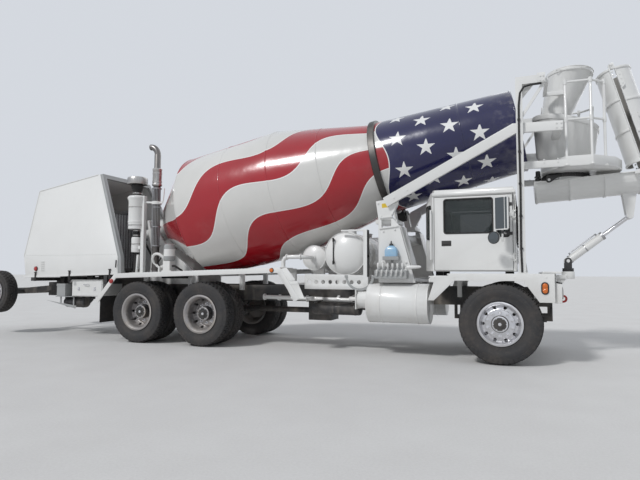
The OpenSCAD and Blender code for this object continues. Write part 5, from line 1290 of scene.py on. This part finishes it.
swivel_gussets = Shape()
swivel_gussets.prism([(0.789, 1.02), (0.789, 1.181), (0.905, 1.181), (0.905, 1.160)], 0.070, 0.082)
swivel_gussets.mirrored().box((0.758, -0.11, 1.182), (0.792, 0.11, 1.238))
swivel_gussets.make("swivel_gussets", truck_white, bevel=0.002)
fender_parts = Shape()
for x in (0.246, 0.364):
    for y in (1.029, 1.147):
        fender_parts.turned([(1.267, 0.010), (1.276, 0.010), (1.276, 0.0)], (x, y, 0), UP, 6)
fender_parts.box((0.694, 1.2175, 0.875), (0.700, 1.2212, 1.250))
for x, z in ((-0.94, 1.155), (-0.88, 1.20), (-0.60, 1.205), (-0.20, 1.205), (0.20, 1.205), (0.60, 1.205)):
    fender_parts.turned([(-0.001, 0.011), (0.005, 0.010), (0.007, 0.0)], (x, 1.220, z), LEFT, 12)
fender_parts.mirrored().make("fender_seams", truck_white, bevel=0.001)


# Mast, hopper and service balcony
# Bolted flanges, tee fittings at the rails' joints, caps on the posts, gussets at the mast's feet and head,
# a hook, the rolled hems of the hopper with its lugs, studs on the floor, and a clamped wash hose.
frame_fittings = Shape()
for x, y in ((0.915, 0.820), (1.235, 0.820), (1.420, 0.655)):
    for z in (3.42, 3.96):
        frame_fittings.band(z - 0.035, z + 0.035, 0.0192, 0.025, (x, y, 0), UP, 20)
    frame_fittings.turned([(2.768, 0.045), (2.778, 0.045), (2.780, 0.027), (2.800, 0.0195)], (x, y, 0), UP,
                          24)
    frame_fittings.turned([(3.975, 0.021), (3.990, 0.021), (3.996, 0.014), (3.998, 0.0)], (x, y, 0), UP, 20)
for z in (2.83, 2.87):
    for x in (0.45, 0.62, 0.80):
        frame_fittings.bolt((x, 0.840, z), LEFT)
for x, z in ((0.585, 3.925), (0.585, 3.985), (0.625, 3.925), (0.625, 3.985)):
    frame_fittings.bolt((x, 1.142, z), LEFT, 0.012, 0.009)
for x, z in ((-1.50, 2.405), (-1.30, 2.508), (0.30, 3.335), (0.78, 3.325), (0.78, 3.265), (0.84, 3.325),
             (0.84, 3.265)):
    frame_fittings.bolt((x, 1.060, z), LEFT, 0.013, 0.009)
for x in (0.755, 0.835):
    for z in (3.255, 3.285):
        frame_fittings.turned([(0.0, 0.011), (0.007, 0.011), (0.008, 0.0)],
                              (x - 0.010, 0.58 + (z - 3.255) * 8, 3.2995), UP, 6)
frame_fittings.mirrored().make("frame_bolts", truck_white, bevel=0)
mast_plates = Shape()
mast_plates.box((0.235, 1.018, 1.2552), (0.375, 1.158, 1.267))
mast_plates.prism([(0.350, 1.267), (0.375, 1.267), (0.350, 1.42)], 1.079, 1.091)
mast_plates.prism([(0.350, 3.90), (0.350, 3.72), (0.50, 3.90)], 1.045, 1.055)
mast_plates.prism([(0.322, 3.42), (0.355, 3.47), (0.355, 3.36), (0.322, 3.36)], 1.06, 1.11)
mast_plates.tube([(0.62, 1.085, 3.902), (0.62, 1.085, 3.855), (0.605, 1.085, 3.835), (0.585, 1.085, 3.845),
                  (0.582, 1.085, 3.865)], 0.008, 10)
for z in (3.925, 3.965):
    mast_plates.box((0.850, 0.322, z), (0.935, 0.3802, z + 0.010))
mast_plates.box((0.888, 0.322, 3.935), (0.897, 0.3802, 3.965))
mast_plates.mirrored().make("mast_gussets", truck_white, bevel=0.002)
rim_hem = Shape()
for z, hx, hy, cx, r in ((4.334, 0.333, 0.423, 1.040, 0.009), (3.662, 0.212, 0.262, 0.830, 0.007)):
    loop = [Vector((cx + hx * math.cos(a), hy * math.sin(a), z))
            for a in (2 * math.pi * k / 64 for k in range(64))]
    rings = []
    for k, point in enumerate(loop):
        ahead = (loop[(k + 1) % 64] - loop[k - 1]).normalized()
        out = ahead.cross(Vector(UP))
        rings.append([rim_hem.bm.verts.new(point + out * (r * math.cos(b)) + Vector((0, 0, r * math.sin(b))))
                      for b in (2 * math.pi * j / 8 for j in range(8))])
    rim_hem.loft(rings + rings[:1], caps=False)
for a in (60, 120, 240, 300):
    x, y = 1.036 + 0.337 * math.cos(math.radians(a)), 0.427 * math.sin(math.radians(a))
    lug = (-0.03, 1.004, 4.300), (-0.03, 1.10, 4.302), (0.03, 1.10, 4.302), (0.03, 1.004, 4.300)
    rim_hem.tube([(x + along, y * out, z) for along, out, z in lug], 0.007, 8)
rim_hem.make("hopper_hem", truck_white, bevel=0)
for k, (x, y, count) in enumerate(((0.66, 0.40, 13), (0.80, 0.48, 12), (0.86, 0.56, 11), (0.93, 0.64, 8),
                                   (0.96, 0.72, 5))):
    floor_stud = Shape()
    floor_stud.turned([(-0.001, 0.012), (0.004, 0.009), (0.0045, 0.0)], (x, y, 2.768), UP, 8)
    repeated(floor_stud, f"balcony_studs_{k}", truck_white, ROW, both=True, count=count, step=(0.062, 0, 0))
wash_hose = Shape()
wash_hose.tube([(0.300, -1.134, 1.275), (0.300, -1.138, 1.32), (0.292, -1.142, 1.60), (0.300, -1.142, 2.40),
                (0.296, -1.142, 3.20), (0.300, -1.138, 3.60), (0.320, -1.130, 3.78), (0.37, -1.125, 3.862),
                (0.46, -1.125, 3.882), (0.60, -1.125, 3.884)], 0.014, 10)
for z in (1.60, 2.05, 2.50, 2.95, 3.40):
    wash_hose.box((0.278, -1.158, z - 0.012), (0.318, -1.129, z + 0.012))
wash_hose.make("hopper_wash_hose", black_rubber, slot="flap_rubber", bevel=0)


# Chutes
# Rolled troughs, whose liners are worn bare and streaked with cement, bolts along their rims and round the
# knuckles, a latch and a grip on the folding chute, the slewing ring's motor, and the ram's gland and pipe.
worn_trough = sprayed_steel("worn_trough", (0.33, 0.32, 0.30), 0.5, 0.0, 0.5, chips=0.6,
                            bare=(0.16, 0.11, 0.08))
SLOPE = math.atan2(2.738 - 2.660, 1.980 - 0.700)
FOLD_HINGE, FOLD_LEAN = (1.980, 0, 2.763), math.radians(-105)
CHUTES = [  # body, node, hinge, turn about Y, start, length, depth, drop of the rim
    ("main_chute", "main_chute", (0.700, 0, 2.660), -SLOPE, -0.195, 1.43, 0.290, 0.005),
    ("fold_chute", "fold_chute", FOLD_HINGE, FOLD_LEAN, 0.045, 1.51, 0.260, 0.030),
    ("fold_chute", "tip_chute", (1.5659, 0, 4.3085), math.radians(75), 0.045, 1.43, 0.140, 0.030)]
for body, node, hinge, turn, start, length, depth, drop in CHUTES:
    at_hinge = Matrix.Translation(hinge) @ Matrix.Rotation(turn, 4, "Y")
    place = at_hinge @ Matrix.Translation((start, 0, -drop))
    liner = Shape()
    arc = [math.radians(180 + 6 * k) for k in range(31)]
    outline = [(0.2815 * math.cos(a), (depth - 0.0085) * math.sin(a) - 0.0005) for a in arc]
    outline += [(0.2795 * math.cos(a), (depth - 0.0105) * math.sin(a) - 0.0005) for a in arc[::-1]]
    liner.prism(outline, 0.0, length, place @ X_FOR_Y)
    liner.make(f"{node}_liner", worn_trough, body, "white_paint", 0)
    fixings = Shape()
    for hand in (1, -1):
        for k in range(7):
            at = place @ Vector((0.06 + k * (length - 0.12) / 6, hand * 0.3205, -0.006))
            fixings.turned([(-0.001, 0.0085), (0.004, 0.0085), (0.006, 0.0)], at, (0, hand, 0), 8)
        if node != "main_chute":
            for x, y, z, r, steps in ((0.0, 0.332, 0.0, 0.020, 24), (0.105, 0.3195, -0.012, 0.013, 6),
                                      (0.165, 0.3195, -0.012, 0.013, 6)):
                fixings.turned([(-0.001, r), (0.008, r), (0.011, r * 0.5), (0.011, 0.0)],
                               at_hinge @ Vector((x, hand * y, z)), (0, hand, 0), steps)
    fixings.make(f"{node}_fixings", truck_white, body, "white_paint", 0)
latches = Shape()
fold_place = Matrix.Translation(FOLD_HINGE) @ Matrix.Rotation(FOLD_LEAN, 4, "Y")
for hand in (1, -1):
    latches.prism([(1.26, -0.095), (1.46, -0.095), (1.49, -0.055), (1.49, -0.043), (1.23, -0.043),
                   (1.23, -0.060)], hand * 0.312 - 0.004, hand * 0.312 + 0.004, fold_place)
    for x in (1.29, 1.36, 1.43):
        latches.bolt(fold_place @ Vector((x, hand * 0.316, -0.070)), (0, hand, 0), 0.011, 0.006)
    grip = ((0.62, 0.305, -0.12), (0.62, 0.335, -0.13), (0.80, 0.335, -0.13), (0.80, 0.305, -0.12))
    latches.tube([fold_place @ Vector((x, hand * y, z)) for x, y, z in grip], 0.008, 10)
latches.make("fold_chute_latches", truck_white, "fold_chute", "white_paint", 0.001)
SLEWING_MOTOR = (0.558, 0, 0)
slewing = Shape()
slewing.turned([(2.712, 0.0), (2.712, 0.040), (2.716, 0.0455), (2.742, 0.0455), (2.746, 0.040),
                (2.746, 0.014), (2.761, 0.014)], SLEWING_MOTOR, UP, 24)
slewing.turned([(2.767, 0.0), (2.767, 0.044), (2.785, 0.044), (2.790, 0.036), (2.850, 0.036), (2.862, 0.026),
                (2.864, 0.0)], SLEWING_MOTOR, UP, 28)
slewing.box((0.505, -0.055, 2.7605), (0.600, 0.055, 2.7675))
slewing.make("slewing_motor", chassis_black, slot="black_steel", bevel=0.001)
ram_ends = Shape()
ram_foot, ram_eye = Vector((0.950, 0, 1.450)), Vector((1.790, 0, 2.110))
ram_axis = (ram_eye - ram_foot).normalized()
for low, high, r in ((0.585, 0.622, 0.0625), (0.030, 0.050, 0.0625), (0.300, 0.318, 0.0600)):
    ram_ends.band(low, high, 0.0575, r, ram_foot, ram_axis, 40)
above = Vector((-ram_axis.z, 0, ram_axis.x))
for low in (0.09, 0.55):
    port = ram_foot + ram_axis * low
    ram_ends.tube([port + above * 0.05, port + above * 0.085], 0.014, 8)
ram_ends.tube([ram_foot + ram_axis * low + above * 0.078 for low in (0.55, 0.12)], 0.009, 8)
ram_ends.make("chute_ram_fittings", dull_steel, "chute_ram_barrel", "bright_steel", 0)


# Running gear
# Spring leaves with their U bolts, brake chambers beside the axles with their arms, yokes on the shafts,
# the tie rod ahead of the front beam, and bolts along the rails, all black and thick with road dust.
gear = Shape()
for z, half in ((0.545, 0.62), (0.532, 0.50), (0.519, 0.38)):
    gear.box((-half, 0.350, z), (half, 0.420, z + 0.011))
for x in (-0.075, 0.075):
    gear.tube([(x, 0.338, 0.500), (x, 0.338, 0.648), (x, 0.432, 0.648), (x, 0.432, 0.500)], 0.009, 8)
for x in (-4.85, -6.19):
    gear.turned([(0.0, 0.0), (0.0, 0.062), (0.06, 0.082), (0.075, 0.090), (0.085, 0.090), (0.10, 0.082),
                 (0.17, 0.078), (0.185, 0.06), (0.188, 0.0)], (x + 0.13, 0.38, 0.74), (0.25, 0, 0.97), 28)
    gear.tube([(x + 0.02, 0.36, 0.58), (x + 0.12, 0.37, 0.73)], 0.024, 12)
    gear.tube([(x, 0.24, 0.70), (x + 0.45, 0.30, 0.86)], 0.022, 12)
gear.turned([(0.0, 0.0), (0.0, 0.055), (0.05, 0.075), (0.07, 0.078), (0.08, 0.078), (0.09, 0.072),
             (0.15, 0.067), (0.16, 0.0)], (-0.15, 0.52, 0.47), (-0.95, 0, 0.3), 28)
gear.tube([(-0.06, 0.52, 0.50), (-0.16, 0.52, 0.475)], 0.022, 12)
for x in (-4.62, -5.03, -6.02, -3.27):
    gear.band(x - 0.03, x + 0.03, 0.051, 0.070, (0, 0, 0.592), FORWARD, 24)
gear.tube([(0.02, 0.30, 0.40), (0.02, 0.60, 0.40)], 0.018, 10)
gear.tube([(0.14, 0.0, 0.49), (0.14, 0.62, 0.47)], 0.017, 10)
gear.box((0.05, 0.585, 0.455), (0.15, 0.625, 0.485))
gear.mirrored().make("running_gear", chassis_black, slot="black_steel", bevel=0.002)
frame_bolts = Shape()
for z in (0.840, 0.985):
    frame_bolts.bolt((-8.95, 0.430, z), LEFT, 0.013)
repeated(frame_bolts, "frame_bolts_outside", chassis_black, ROW, slot="black_steel", both=True, count=54,
         step=(0.175, 0, 0))


# Pipes beside the frame
# A white air pipe with flanged ends clamped along the rail, the elbow that fills the side tanks, and the
# rolled beads round them.
SIDE_TANK = (0, 0.900, 0.800)
pipes = Shape()
pipes.tube([(-3.98, 0.476, 0.835), (-2.32, 0.476, 0.805)], 0.036, 18)
for x, z in ((-3.98, 0.835), (-3.16, 0.820), (-2.32, 0.805)):
    pipes.turned([(-0.012, 0.0), (-0.012, 0.058), (0.012, 0.058), (0.012, 0.0)], (x, 0.476, z), FORWARD, 24)
for x in (-3.70, -2.60):
    pipes.box((x - 0.020, 0.429, 0.775), (x + 0.020, 0.450, 0.880))
    pipes.band(-0.020, 0.020, 0.037, 0.042, (x, 0.476, 0.820), FORWARD, 24)
pipes.tube([(-2.10, 0.900, 0.850), (-2.19, 0.900, 0.850), (-2.25, 0.880, 0.850), (-2.27, 0.820, 0.855),
            (-2.27, 0.429, 0.880)], 0.034, 16)
pipes.box((-2.124, 0.750, 0.700), (-2.110, 1.050, 1.000))
for x in (-1.706, -1.157):
    pipes.turned([(x - 0.014, 0.299), (x - 0.007, 0.3055), (x + 0.007, 0.3055), (x + 0.014, 0.299)],
                 SIDE_TANK, FORWARD, 64)
for x, inward in ((-1.921, 1), (-0.989, -1)):
    pipes.turned([(x, 0.275), (x + 0.006 * inward, 0.303), (x + 0.02 * inward, 0.3005)], SIDE_TANK, FORWARD,
                 64)
pipes.mirrored().make("frame_pipes", truck_white, bevel=0)


# Finish
# The bounds of all the shown pieces, the floor left out.
low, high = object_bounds()
